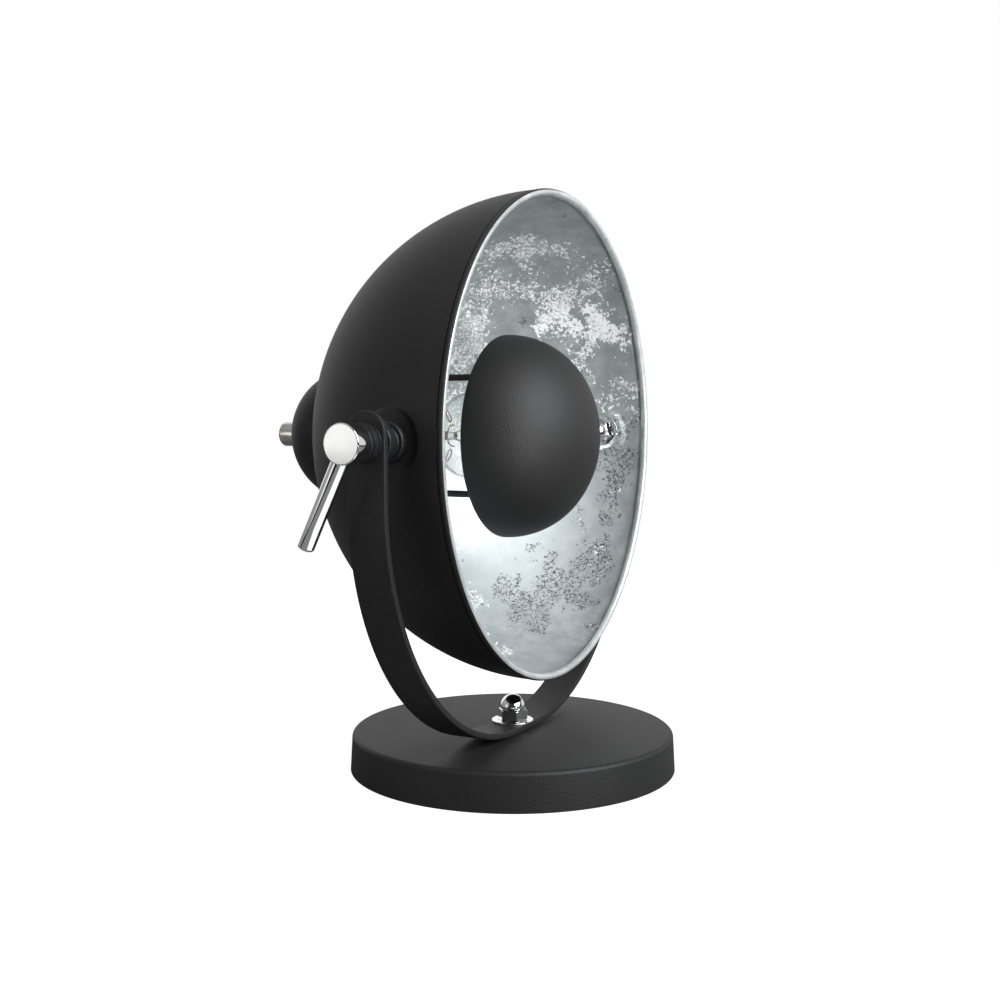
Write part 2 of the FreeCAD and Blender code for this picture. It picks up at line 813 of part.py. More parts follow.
def bulb_stem():
    """Glass stem that closes the neck and carries the wires."""
    back_y = bulb_shell_front_y + neck_insert
    front_y = back_y - stem_length
    return turned_bar(
        [
            (0, front_y),
            (stem_tip_radius, front_y),
            (stem_radius, front_y + stem_taper),
            (stem_radius, back_y - stem_flare),
            (neck_radius - glass_wall, back_y - glass_wall),
            (neck_radius - glass_wall, back_y),
            (0, back_y),
        ]
    )


def filament():
    """Two lead wires and the filament between them, as one bent wire."""
    stem_y = bulb_shell_front_y + neck_insert - stem_length
    top_y = stem_y - filament_rise
    half_span = filament_span / 2
    wires = []
    for side in (-1, 1):
        start = V(0, stem_y, side * wire_foot_offset)
        wires.append(rod(wire_radius, start, V(0, top_y, side * half_span)))
    joined = rod(wire_radius, V(0, top_y, -half_span), V(0, top_y, half_span))
    for wire in wires:
        joined = joined.fuse(wire)
    for side in (-1, 1):
        joined = joined.fuse(Part.makeSphere(wire_joint_radius, V(0, top_y, side * half_span)))
    return joined.removeSplitter().cut(bulb_stem())


# ---------------------------------------------------------------- assembly
def sided(name, shape):
    """A pivot piece on the right and its mirror image on the left."""
    placed = on_head(shape)
    return {"right_" + name: placed, "left_" + name: left_of(placed)}


def all_pieces():
    """Every piece under the name of its node."""
    pieces = {
        "base_cover": base_cover(),
        "base_weight": base_weight(),
        "base_pad": base_pad(),
        "base_bolt": base_bolt(),
        "swivel_washer": swivel_washer(),
        "base_washer": base_washer(),
        "base_dome_nut": base_dome_nut(),
        "yoke": yoke(),
        "shade": on_head(shade()),
        "rear_cap": on_head(rear_cap()),
        "threaded_tube": on_head(threaded_tube()),
        "tube_nut": on_head(tube_nut()),
        "cord_gland": on_head(cord_gland()),
        "holder_bracket": on_head(holder_bracket()),
        "upper_dome_rod": on_head(dome_rod(1)),
        "lower_dome_rod": on_head(dome_rod(-1)),
        "rod_nuts": on_head(rod_nuts()),
        "glare_dome": on_head(glare_dome()),
        "lamp_holder": on_head(lamp_holder()),
        "holder_screws": on_head(holder_screws()),
        "screw_shell": on_head(screw_shell()),
        "centre_contact": on_head(centre_contact()),
        "bulb_glass": on_head(bulb_glass()),
        "bulb_cap": on_head(bulb_cap()),
        "bulb_contact": on_head(bulb_contact()),
        "bulb_stem": on_head(bulb_stem()),
        "filament": on_head(filament()),
    }
    pieces.update(sided("hub", hub()))
    pieces.update(sided("friction_washer", friction_washer()))
    pieces.update(sided("spacer", spacer()))
    pieces.update(sided("pivot_stud", pivot_stud()))
    pieces.update(sided("inner_washer", inner_washer()))
    pieces.update(sided("inner_nut", inner_nut()))
    pieces.update(sided("lever_head", lever_head()))
    pieces.update(sided("lever_rod", lever_rod()))
    return pieces


def main():
    os.makedirs("parts", exist_ok=True)
    for name, shape in all_pieces().items():
        if not shape.isValid() or not shape.Solids:
            raise RuntimeError(name + " is not a sound solid")
        shape.exportStep(os.path.join("parts", name + ".step"))
        print(name, len(shape.Solids), round(shape.Volume / 1000, 3), "cm3")


main()
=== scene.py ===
"""Dresses a tabletop searchlight lamp: every visible piece, its finish, the stage and the camera."""

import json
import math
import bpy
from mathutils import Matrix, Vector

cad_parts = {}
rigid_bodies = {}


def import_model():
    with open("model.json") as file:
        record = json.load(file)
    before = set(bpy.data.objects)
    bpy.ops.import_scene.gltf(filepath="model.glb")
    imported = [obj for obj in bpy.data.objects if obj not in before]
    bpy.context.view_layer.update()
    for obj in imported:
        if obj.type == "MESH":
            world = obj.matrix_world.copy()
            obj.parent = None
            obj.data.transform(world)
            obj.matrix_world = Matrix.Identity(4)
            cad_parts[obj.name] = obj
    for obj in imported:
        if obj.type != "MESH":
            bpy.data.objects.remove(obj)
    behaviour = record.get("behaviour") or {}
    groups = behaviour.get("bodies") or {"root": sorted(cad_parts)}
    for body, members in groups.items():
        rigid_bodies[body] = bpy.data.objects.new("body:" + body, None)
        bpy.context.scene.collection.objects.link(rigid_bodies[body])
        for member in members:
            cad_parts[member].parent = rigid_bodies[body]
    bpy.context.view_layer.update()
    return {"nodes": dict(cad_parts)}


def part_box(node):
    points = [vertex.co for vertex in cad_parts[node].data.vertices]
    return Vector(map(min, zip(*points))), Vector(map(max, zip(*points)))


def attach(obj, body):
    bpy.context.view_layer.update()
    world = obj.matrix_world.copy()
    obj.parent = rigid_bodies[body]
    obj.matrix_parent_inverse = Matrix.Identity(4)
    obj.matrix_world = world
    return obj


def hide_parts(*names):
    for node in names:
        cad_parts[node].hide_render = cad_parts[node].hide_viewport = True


bl_info = {
    "name": "Searchlight lamp dresser",
    "version": (1, 0, 0),
    "blender": (4, 5, 0),
    "location": "3D View > Sidebar > Lamp",
    "description": "Builds the pieces and finishes of a yoke-mounted table lamp around its frame",
    "category": "Add Mesh",
}

import bmesh
import bpy
from bpy.props import BoolProperty, FloatProperty, FloatVectorProperty, IntProperty, PointerProperty
from mathutils import Matrix, Vector

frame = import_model()
MM = 0.001

# ---------------------------------------------------------------- places read from the frame
STUD_LOW, STUD_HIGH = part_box("left_pivot_stud")
PIVOT = Vector((0.0, 0.0, (STUD_LOW.z + STUD_HIGH.z) / 2))
SHADE_LOW, SHADE_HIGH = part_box("shade")
DOME_LOW, DOME_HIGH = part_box("glare_dome")
GLASS_LOW, GLASS_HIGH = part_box("bulb_glass")

SHELL_WALL = 1.2 * MM
BEAD_RADIUS = 1.7 * MM
BEAD_PROUD = 0.2 * MM
TUBE_HOLE_RADIUS = 5.2 * MM
SHELL_RADIUS = SHADE_HIGH.x - BEAD_PROUD
SHELL_CENTRE_Y = SHADE_HIGH.y - math.sqrt(SHELL_RADIUS**2 - TUBE_HOLE_RADIUS**2)
MOUTH_Y = SHADE_LOW.y + BEAD_RADIUS
SIDES = (("left", -1), ("right", 1))

# ---------------------------------------------------------------- the camera
CAMERA_PLACE = Vector((-0.566763, -0.283344, 0.177374))
CAMERA_TARGET = Vector((0.0, 0.006979, 0.131638))
CAMERA_ROLL = -0.03
CAMERA_LENS = 46.636
CAMERA_SENSOR = 36.0


# ---------------------------------------------------------------- settings shown in the panel
def length(name, description, default):
    """Setting that holds a length."""
    return FloatProperty(name=name, description=description, default=default, unit="LENGTH")


class LampBaseSizes(bpy.types.PropertyGroup):
    edge_radius: length("Edge radius", "Rounding of the base's upper edge", 2.2 * MM)
    wall: length("Wall", "Thickness of the pressed cover", 1.5 * MM)
    strap_thickness: length("Strap thickness", "Thickness of the bent strap", 3.0 * MM)
    strap_flat_half: length("Half flat", "Half the length of the flat under the base nut", 11.0 * MM)
    strap_edge_radius: length("Strap edge radius", "Rounding of the strap's long edges", 0.55 * MM)


class LampShadeSizes(bpy.types.PropertyGroup):
    wall: length("Wall", "Thickness of the spun shell", SHELL_WALL)
    bead_radius: length("Bead radius", "Radius of the rolled rim", BEAD_RADIUS)
    bead_proud: length("Bead proud", "How far the rolled rim stands out of the shell", BEAD_PROUD)
    tube_hole_radius: length(
        "Tube hole radius", "Hole at the back for the threaded tube", TUBE_HOLE_RADIUS
    )
    seat_radius: length("Seat radius", "Flat pressed round each pivot", 13.0 * MM)
    segments: IntProperty(name="Segments", description="Faces round the shell", default=288, min=48)
    crown_radius: length("Small dome crown radius", "Radius of the small dome's crown", 54.5 * MM)


class LampBulbSizes(bpy.types.PropertyGroup):
    globe_radius: length(
        "Globe radius", "Outside radius of the glass globe", (GLASS_HIGH.x - GLASS_LOW.x) / 2
    )
    neck_radius: length("Neck radius", "Outside radius of the glass neck", 12.3 * MM)
    neck_blend: length("Neck blend", "Radius of the hollow between globe and neck", 5.0 * MM)
    glass_wall: length("Glass wall", "Thickness of the glass", 0.8 * MM)
    thread_pitch: length("Thread pitch", "Pitch of the bulb's screw cap", 3.63 * MM)
    thread_ridge: length("Thread ridge", "Radius of the rolled ridge", 0.95 * MM)


class LampFinishes(bpy.types.PropertyGroup):
    paint: FloatVectorProperty(
        name="Powder coat",
        description="Colour of the black powder coat",
        subtype="COLOR",
        default=(0.0128, 0.0123, 0.0123),
    )
    paint_roughness: FloatProperty(
        name="Powder roughness",
        description="Roughness of the powder coat",
        default=0.56,
        subtype="FACTOR",
    )
    grain_scale: FloatProperty(
        name="Powder grain",
        description="Grains of the powder coat per metre",
        default=2100.0,
    )
    leaf_scale: FloatProperty(
        name="Leaf crackle",
        description="Crackle cells of the silver leaf per metre",
        default=450.0,
    )


class LampStage(bpy.types.PropertyGroup):
    floor_half: length("Half floor", "Half the side of the floor", 0.7)
    sun_strength: FloatProperty(
        name="Sun strength",
        description="Strength of the broad key light",
        default=3.2,
    )
    show_floor: BoolProperty(
        name="Floor",
        description="Lay the pale floor under the lamp",
        default=True,
    )


# ---------------------------------------------------------------- outlines and meshes
ON_AXIS = 1e-7


def shares(steps):
    """Even steps from 0 to 1, with both ends."""
    return [step / steps for step in range(steps + 1)]


def softened(corners, steps=4):
    """Outline of (radius, along, fillet) corners with each corner rounded by its own fillet."""
    outline = []
    for index, (radius, along, fillet) in enumerate(corners):
        here = Vector((radius, along))
        if fillet <= 0:
            outline.append(tuple(here))
            continue
        before = Vector(corners[index - 1][:2])
        after = Vector(corners[(index + 1) % len(corners)][:2])
        way_in = (before - here).normalized()
        way_out = (after - here).normalized()
        half = way_in.angle(way_out) / 2
        reach = fillet / math.tan(half)
        centre = here + (way_in + way_out).normalized() * fillet / math.sin(half)
        first = here + way_in * reach - centre
        last = here + way_out * reach - centre
        for share in shares(steps):
            outline.append(tuple(centre + first.lerp(last, share).normalized() * fillet))
    return outline


def arc_points(centre, radius, start, end, steps):
    """Points (radius, along) on an arc; angles in radians from the radius direction."""
    points = []
    for share in shares(steps):
        angle = start + (end - start) * share
        across = centre[0] + radius * math.cos(angle)
        points.append((max(across, 0.0), centre[1] + radius * math.sin(angle)))
    return points


def ring_into(build, place, along, reaches):
    """Add a ring of corners round a line, each at its own reach, and return it."""
    ring = []
    for step, reach in enumerate(reaches):
        angle = math.tau * step / len(reaches)
        spot = Vector((reach * math.cos(angle), reach * math.sin(angle), along))
        ring.append(build.verts.new(place @ spot))
    return ring


def skin(build, rings, slots=None):
    """Join each ring with the next by faces; a ring beside an empty one gets one flat face."""
    for index, (first, second) in enumerate(zip(rings, rings[1:])):
        if not first or not second:
            if first or second:
                build.faces.new(first or second)
            continue
        for step in range(len(first)):
            face = build.faces.new((first[step - 1], second[step - 1], second[step], first[step]))
            if slots:
                face.material_index = slots[index]


def turned(outline, place, segments, slots=None):
    """Turn (radius, along) points about a line; a point on the line closes the ring beside it."""
    build = bmesh.new()
    rings = []
    for radius, along in outline:
        reaches = [radius] * segments if radius > ON_AXIS else []
        rings.append(ring_into(build, place, along, reaches))
    skin(build, rings + rings[:1], slots)
    return build


def to_object(name, build, sharp, *finishes):
    """Finish a bmesh as an object at the origin, with outward faces and sharp edges by angle."""
    bmesh.ops.recalc_face_normals(build, faces=build.faces)
    mesh = bpy.data.meshes.new(name)
    for finish in finishes:
        mesh.materials.append(FINISHES[finish])
    build.to_mesh(mesh)
    build.free()
    return mesh_object(name, mesh, sharp)


def mesh_object(name, mesh, sharp):
    """Link a mesh as an object with smooth faces and sharp edges by angle."""
    mesh.name = name
    mesh.shade_smooth()
    mesh.set_sharp_from_angle(angle=math.radians(sharp))
    piece = bpy.data.objects.new(name, mesh)
    bpy.context.scene.collection.objects.link(piece)
    return piece


def turned_piece(name, outline, place, segments, finish, sharp=35.0):
    """One turned object from an outline."""
    return to_object(name, turned(outline, place, segments), sharp, finish)


def dress(piece, body, slot, *nodes):
    """Let a piece ride on its body and stand for its nodes; the slot is not used."""
    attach(piece, body)
    if nodes:
        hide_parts(*nodes)


def along_y(origin):
    """Place for a turned shape whose axis runs from front to back, growing to the back."""
    turn = Matrix(((0, 1, 0), (0, 0, 1), (1, 0, 0))).to_4x4()
    return Matrix.Translation(origin) @ turn


def along_x(side):
    """Place for a turned shape on the tilt axis, growing outwards on one side."""
    turn = Matrix(((0, 0, side), (1, 0, 0), (0, 1, 0))).to_4x4()
    return Matrix.Translation(PIVOT) @ turn


def along_line(start, direction):
    """Place for a turned shape that starts at a point and grows in a direction."""
    return Matrix.Translation(start) @ direction.to_track_quat("Z", "Y").to_matrix().to_4x4()


OPTICAL = along_y(PIVOT)


# ---------------------------------------------------------------- node helpers
class Flow:
    """What comes out of a node, so that sums of it are written as plain arithmetic."""

    def __init__(self, node, output=0):
        self.tree = node.id_data
        self.socket = node.outputs[output]

    def sum(self, operation, *others):
        """Math node on this and on the others."""
        inputs = dict(enumerate((self, *others)))
        return Flow(add_node(self.tree, "ShaderNodeMath", inputs, operation=operation))

    def vector(self, operation, *others, output="Vector"):
        """Vector math node on this and on the others."""
        inputs = dict(enumerate((self, *others)))
        made = add_node(self.tree, "ShaderNodeVectorMath", inputs, operation=operation)
        return Flow(made, output)

    def ramp(self, low, high, to_low=0.0, to_high=1.0):
        """Smooth step from one range to another."""
        inputs = {
            "Value": self,
            "From Min": low,
            "From Max": high,
            "To Min": to_low,
            "To Max": to_high,
        }
        made = add_node(self.tree, "ShaderNodeMapRange", inputs, interpolation_type="SMOOTHSTEP")
        return Flow(made, "Result")

    def __add__(self, other):
        return self.sum("ADD", other)

    def __sub__(self, other):
        return self.sum("SUBTRACT", other)

    def __rsub__(self, other):
        return self.sum("MULTIPLY_ADD", -1.0, other)

    def __mul__(self, other):
        return self.sum("MULTIPLY", other)

    def __abs__(self):
        return self.sum("ABSOLUTE")


def feed(node, inputs):
    """Link what comes out of other nodes to a node's inputs, or set plain values on them."""
    for label, value in inputs.items():
        if isinstance(value, Flow):
            value.tree.links.new(value.socket, node.inputs[label])
        else:
            node.inputs[label].default_value = value


def add_node(tree, kind, inputs=None, **settings):
    """New node with its settings and what goes into it."""
    made = tree.nodes.new(kind)
    for key, value in settings.items():
        setattr(made, key, value)
    feed(made, inputs or {})
    return made


# Places of the two colours and of their mix among the sockets of a mix node.
MIX_FIRST = 6
MIX_SECOND = 7
MIX_RESULT = 2


def blended(factor, first, second):
    """Mix of two colours."""
    inputs = {"Factor": factor, MIX_FIRST: first, MIX_SECOND: second}
    return Flow(add_node(factor.tree, "ShaderNodeMix", inputs, data_type="RGBA"), MIX_RESULT)


def noise(place, scale, detail=2.0, roughness=0.5, output="Fac"):
    """Noise at a place."""
    inputs = {"Vector": place, "Scale": scale, "Detail": detail, "Roughness": roughness}
    return Flow(add_node(place.tree, "ShaderNodeTexNoise", inputs), output)


def grouped(name, inputs, outputs, kind="ShaderNodeTree"):
    """Empty node group with named sockets; returns its tree, its inputs by name and its output."""
    tree = bpy.data.node_groups.new(name, kind)
    for label, (sort, value) in inputs.items():
        socket = tree.interface.new_socket(label, in_out="INPUT", socket_type="NodeSocket" + sort)
        if value is not None:
            socket.default_value = value
    for label, sort in outputs.items():
        tree.interface.new_socket(label, in_out="OUTPUT", socket_type="NodeSocket" + sort)
    entry = add_node(tree, "NodeGroupInput")
    given = {label: Flow(entry, label) for label in inputs}
    return tree, given, add_node(tree, "NodeGroupOutput")


def grain_group():
    """Powder coat: fine grain in the colour, the roughness and the height."""
    tree, given, result = grouped(
        "Powder coat grain",
        {
            "Place": ("Vector", (0, 0, 0)),
            "Colour": ("Color", (0.02, 0.02, 0.02, 1)),
            "Roughness": ("Float", 0.55),
            "Grains per metre": ("Float", 2100.0),
        },
        {"Colour": "Color", "Roughness": "Float", "Height": "Float"},
    )
    place = given["Place"]
    scale = given["Grains per metre"]
    fine = noise(place, scale, 3.0, 0.6)
    cells = {"Vector": place, "Scale": scale * 0.62}
    pebbles = Flow(add_node(tree, "ShaderNodeTexVoronoi", cells, feature="SMOOTH_F1"), "Distance")
    lift = fine.ramp(0.35, 0.68, 0.0, 0.55) + noise(place, 22.0, 3.0, 0.5)
    feed(
        result,
        {
            "Colour": given["Colour"].vector("MULTIPLY", lift * 0.62 + 0.55),
            "Roughness": fine * 0.16 + given["Roughness"] - 0.08,
            "Height": fine * 0.6 + pebbles,
        },
    )
    return tree


def scratch_group():
    """Handling marks: fine scratches and smudges in the roughness, scratches in the height."""
    tree, given, result = grouped(
        "Handling marks",
        {
            "Place": ("Vector", (0, 0, 0)),
            "Roughness": ("Float", 0.08),
            "Marks per metre": ("Float", 400.0),
        },
        {"Roughness": "Float", "Height": "Float"},
    )
    stretched = given["Place"].vector("MULTIPLY", (1.0, 0.12, 1.0))
    scratches = noise(stretched, given["Marks per metre"], 4.0, 0.7).ramp(0.56, 0.74)
    smudges = noise(given["Place"], 60.0, 3.0, 0.5).ramp(0.45, 0.75)
    rough = scratches * 0.10 + given["Roughness"] + smudges * 0.06
    feed(result, {"Roughness": rough, "Height": scratches})
    return tree


# Spots on the inside of the shade: angle round the axis in degrees, distance behind
# the tilt axis and radius in millimetres.
# White and flecked spots mark where leaf flakes are painted white as painted glint; cracked spots mark
# where crack lines are painted dark as painted shade.
WHITE_SPOTS = ((38, 14, 17), (31, -2, 16), (27, -14, 11), (37, 60, 14))
FLECKED_SPOTS = (
    (72, 36, 26),
    (63, 18, 24),
    (55, 1, 18),
    (43, -8, 14),
    (56, 44, 22),
    (45, 56, 20),
    (45, 18, 20),
    (24, 10, 18),
    (17, -12, 13),
    (-69, 45, 16),
    (-79, 30, 15),
    (-85, 13, 15),
)
CRACKED_SPOTS = (
    (-57, 28, 14),
    (-62, 22, 12),
    (-47, 9, 16),
    (-50, -6, 13),
    (-57, 8, 15),
    (-38, -4, 15),
    (-22, -10, 12),
    (-9, -10, 13),
    (-48, 14, 12),
    (-41, 20, 12),
    (0, -12, 11),
    (-66, 10, 12),
)
PLAIN_SPOTS = ((38, 35, 16), (20, -6, 12), (64, -20, 24), (40, -21, 12), (77, -6, 22))
SPOT_SPREAD = 1.25


def near_spots(place, spots):
    """Mask that rises to one at the middle of each spot."""
    found = 0.0
    for angle, behind, radius in spots:
        turn = math.radians(angle)
        along = behind * MM
        reach = math.sqrt((SHELL_RADIUS - SHELL_WALL) ** 2 - (along - SHELL_CENTRE_Y) ** 2)
        middle = (reach * math.cos(turn), along, PIVOT.z + reach * math.sin(turn))
        near = place.vector("DISTANCE", middle, output="Value")
        found = near.ramp(radius * SPOT_SPREAD * MM, 0.0).sum("MAXIMUM", found)
    return found


def shifted(place, scale, amount):
    """A place moved about by noise, so that what is drawn there gets ragged."""
    swing = noise(place, scale, 4.0, 0.62, "Color").vector("SUBTRACT", (0.5, 0.5, 0.5))
    return swing.vector("MULTIPLY_ADD", (amount, amount, amount), place)


def leaf_group():
    """Silver paint with leaf flakes painted white above as painted glint, and fine crack lines painted
    dark below as painted shade.

    Ramps of a place run in metres, behind the tilt axis or up from the table."""
    tree, given, result = grouped(
        "Leaf crackle",
        {
            "Place": ("Vector", (0, 0, 0)),
            "Cells per metre": ("Float", 450.0),
            "Upper ground": ("Color", (0.25, 0.28, 0.275, 1)),
            "Lower ground": ("Color", (0.51, 0.55, 0.56, 1)),
            "White leaf": ("Color", (0.97, 0.98, 0.98, 1)),
            "Dark crack": ("Color", (0.03, 0.035, 0.035, 1)),
        },
        {"Colour": "Color", "Roughness": "Float", "Metallic": "Float", "Height": "Float"},
    )
    place = given["Place"]
    scale = given["Cells per metre"]
    parted = add_node(tree, "ShaderNodeSeparateXYZ", {0: place})
    behind = Flow(parted, "Y")
    height = Flow(parted, "Z")
    axis = PIVOT.z
    ragged = shifted(place, 75.0, 0.045)
    crumpled = shifted(place, 380.0, 0.0045)
    cover = noise(place, 60.0, 7.0, 0.66)
    specks = noise(crumpled, scale, 6.0, 0.66)
    cloud = noise(place, 90.0, 5.0, 0.6)

    # How densely the leaf lies, which sets where its flakes are painted white as painted glint: more of
    # it at the spots, higher up and deep in the shade.
    deep = behind.ramp(0.046, 0.062) * height.ramp(0.080, 0.110) * height.ramp(0.245, 0.225)
    flecked = near_spots(ragged, FLECKED_SPOTS)
    density = cover * 0.90 - 0.45 + near_spots(ragged, WHITE_SPOTS) * 0.24
    density += flecked * height.ramp(axis, axis - 0.030, 0.14, 0.24)
    density += deep * 0.10 - near_spots(ragged, PLAIN_SPOTS) * 0.30
    density += height.ramp(axis - 0.030, axis + 0.005, -0.10, 0.0)
    # Painted glint: the flakes of this mask are painted white where crumpled leaf would catch light.
    torn_leaf_glint = (specks + density).ramp(0.630, 0.665)

    # Thin lines and pits that break the leaf, and crack lines in the ground painted dark as painted
    # shade.
    thin = abs(specks - 0.5).ramp(0.050, 0.030)
    grit = noise(crumpled, scale * 2.3, 3.0, 0.6)
    pitted = grit.ramp(0.53, 0.45) * (flecked * 1.6).sum("MINIMUM", 0.85)
    fissures = thin * deep * 0.85
    torn_leaf_glint *= 1.0 - pitted.sum("MAXIMUM", fissures)
    cracked = cover * 3.0 + near_spots(ragged, CRACKED_SPOTS)
    broken = noise(place, 640.0, 3.0, 0.6).ramp(0.44, 0.50)
    # Painted shade: these crack lines take a near-black colour that stands in for shade in crumpled leaf.
    shaded_cracks = thin * cracked.ramp(1.72, 2.00) * broken
    shaded_cracks = shaded_cracks.sum("MAXIMUM", fissures * cover.ramp(0.44, 0.52, 0.0, 0.32))

    # The ground: grey above as painted shade and paler below as painted light, darker towards the rim and
    # the lowest part as painted shade, pale in the depth as painted light.
    # Painted shade and light: the upper ground colour is darker and the lower one paler because of how
    # light falls inside the shade.
    upper = height.ramp(axis - 0.030, axis + 0.030)
    ground = blended(upper, given["Lower ground"], given["Upper ground"])
    # Painted shade: the ground is blended towards black near the rim and at the lowest part.
    front = behind.ramp(0.035, -0.025, 0.0, 0.50)
    front = front.sum("MAXIMUM", height.ramp(0.085, 0.055, 0.0, 0.45))
    front += behind.ramp(-0.012, -0.028) * height.ramp(0.092, 0.070) * 0.25
    ground = blended(front * (1.0 - upper), ground, (0, 0, 0, 1))
    # Painted light: deep in the shade and below the axis the ground is paled towards white.
    hollow = deep * height.ramp(axis + 0.030, axis, 0.12, 0.70)
    ground = blended(hollow + cloud.ramp(0.35, 0.75, 0.0, 0.16), ground, given["White leaf"])
    flaked = blended(torn_leaf_glint, ground, given["White leaf"])
    feed(
        result,
        {
            "Colour": blended(shaded_cracks, flaked, given["Dark crack"]),
            "Roughness": cloud * 0.12 + torn_leaf_glint * 0.10 + 0.34,
            "Metallic": torn_leaf_glint * -0.15 + 0.15,
            "Height": cloud * 0.3 + specks * torn_leaf_glint - shaded_cracks * 0.6,
        },
    )
    return tree


# ---------------------------------------------------------------- finishes
GROUPS = {}
FINISHES = {}


def shader(name, **constants):
    """New material; returns it with its Principled shader and its object coordinates."""
    material = bpy.data.materials.new(name)
    material.use_nodes = True
    principled = material.node_tree.nodes["Principled BSDF"]
    feed(principled, {label.replace("_", " "): value for label, value in constants.items()})
    place = Flow(add_node(material.node_tree, "ShaderNodeTexCoord"), "Object")
    return material, principled, place


def surface(principled, colour, roughness, height, depth, strength=1.0):
    """Feed a shader its colour, its roughness and bumps of a depth in metres."""
    bumps = {"Height": height, "Distance": depth, "Strength": strength}
    bump = add_node(principled.id_data, "ShaderNodeBump", bumps)
    normal = Flow(bump, "Normal")
    feed(principled, {"Base Color": colour, "Roughness": roughness, "Normal": normal})


def use_group(label, place, **values):
    """Place a node group in a material and return what comes out of it, by name."""
    inputs = {"Place": place}
    for key, value in values.items():
        inputs[key.replace("_", " ")] = value
    made = add_node(place.tree, "ShaderNodeGroup", node_tree=GROUPS[label])
    feed(made, inputs)
    return {output.name: Flow(made, output.name) for output in made.outputs}


def powder(name, colour, roughness, scale, specular, depth):
    """Matt powder coat."""
    material, principled, place = shader(name, Specular_IOR_Level=specular)
    colour = (*colour, 1)
    grain = use_group("grain", place, Colour=colour, Roughness=roughness, Grains_per_metre=scale)
    surface(principled, grain["Colour"], grain["Roughness"], grain["Height"], depth)
    return material


def bright_metal(name, colour, dark, roughness, marks, depth):
    """Plated or turned metal with handling marks."""
    material, principled, place = shader(name, Metallic=1.0)
    marked = use_group("scratch", place, Roughness=roughness, Marks_per_metre=marks)
    tone = noise(place, 180.0, 3.0).ramp(0.3, 0.75)
    mixed = blended(tone, (*colour, 1), (*dark, 1))
    surface(principled, mixed, marked["Roughness"], marked["Height"], depth)
    return material


def moulded(name, colour, other, roughness, scale, depth, specular=0.5, coat=0.0):
    """Moulded, cast or soft material with a fine even surface."""
    material, principled, place = shader(name, Specular_IOR_Level=specular, Coat_Weight=coat)
    fine = noise(place, scale, 4.0, 0.6)
    broad = noise(place, scale / 14, 3.0, 0.5).ramp(0.3, 0.7)
    mixed = blended(broad, (*colour, 1), (*other, 1))
    surface(principled, mixed, fine * 0.14 + roughness, fine, depth)
    return material


def clear_material(name, bending, roughness, waves):
    """Clear glass or plastic with a faint waviness and dust."""
    material, principled, place = shader(name, Transmission_Weight=1.0, IOR=bending, Metallic=0.0)
    wave = noise(place, waves, 2.0)
    dust = noise(place, 500.0, 3.0).ramp(0.4, 0.9, roughness, roughness + 0.06)
    tint = blended(wave, (0.97, 0.99, 0.985, 1), (0.99, 0.995, 0.99, 1))
    surface(principled, tint, dust, wave, 0.1 * MM)
    return material


def silver_leaf(scale):
    """Satin silver with leaf flakes, carrying painted glint and painted shade."""
    material, principled, place = shader("Silver leaf")
    leaf = use_group("leaf", place, Cells_per_metre=scale)
    feed(principled, {"Metallic": leaf["Metallic"]})
    surface(principled, leaf["Colour"], leaf["Roughness"], leaf["Height"], 0.12 * MM, 0.7)
    return material


def rim_silver():
    """Silver paint of the rolled rim."""
    material, principled, place = shader("Rim silver", Metallic=0.45)
    fine = noise(place, 900.0, 4.0, 0.65)
    tone = fine * 0.4 + noise(place, 70.0, 4.0, 0.6) * 0.6
    mixed = blended(tone.ramp(0.3, 0.7), (0.36, 0.38, 0.38, 1), (0.66, 0.68, 0.68, 1))
    surface(principled, mixed, fine * 0.2 + 0.30, fine, 0.05 * MM)
    return material


def make_finishes(chosen):
    """All node groups, and all materials by the names that the pieces use."""
    GROUPS.update(grain=grain_group(), scratch=scratch_group(), leaf=leaf_group())
    GROUPS.update(ridge=ridge_tree(), row=row_tree())
    paint = tuple(chosen.paint)
    rough = chosen.paint_roughness
    FINISHES.update(
        powder=powder("Black powder coat", paint, rough, chosen.grain_scale, 0.37, 110e-6),
        plastic=powder("Black moulded plastic", (0.012, 0.012, 0.014), 0.42, 3000, 0.45, 30e-6),
        leaf=silver_leaf(chosen.leaf_scale),
        rim=rim_silver(),
        clear_plastic=clear_material("Clear washer", 1.49, 0.12, 300.0),
        glass=clear_material("Clear glass", 1.47, 0.0, 45.0),
    )
    metals = (
        ("chrome", "Chrome plate", (0.90, 0.90, 0.89), (0.84, 0.84, 0.84), 0.035, 400, 4e-6),
        ("satin", "Satin nickel", (0.66, 0.65, 0.61), (0.55, 0.54, 0.50), 0.20, 900, 8e-6),
        ("zinc", "Zinc plate", (0.62, 0.62, 0.60), (0.48, 0.49, 0.50), 0.26, 700, 8e-6),
        ("brass", "Brass", (0.78, 0.60, 0.28), (0.66, 0.48, 0.20), 0.22, 600, 6e-6),
        ("copper", "Lead wire", (0.78, 0.66, 0.36), (0.52, 0.42, 0.20), 0.28, 900, 4e-6),
    )
    for key, *values in metals:
        FINISHES[key] = bright_metal(*values)
    cast = (
        ("iron", "Cast iron", (0.10, 0.10, 0.10), (0.15, 0.14, 0.13), 0.62, 900, 3e-4),
        ("pad", "Foam pad", (0.018, 0.018, 0.018), (0.035, 0.034, 0.033), 0.82, 1600, 2e-4, 0.2),
        ("porcelain", "Glazed holder", (0.82, 0.81, 0.77), (0.78, 0.77, 0.72), 0.14, 300, 1e-5, 0.5, 0.4),
        ("black_glass", "Black glass", (0.006, 0.006, 0.012), (0.012, 0.010, 0.016), 0.06, 400, 5e-6),
    )
    for key, *values in cast:
        FINISHES[key] = moulded(*values)


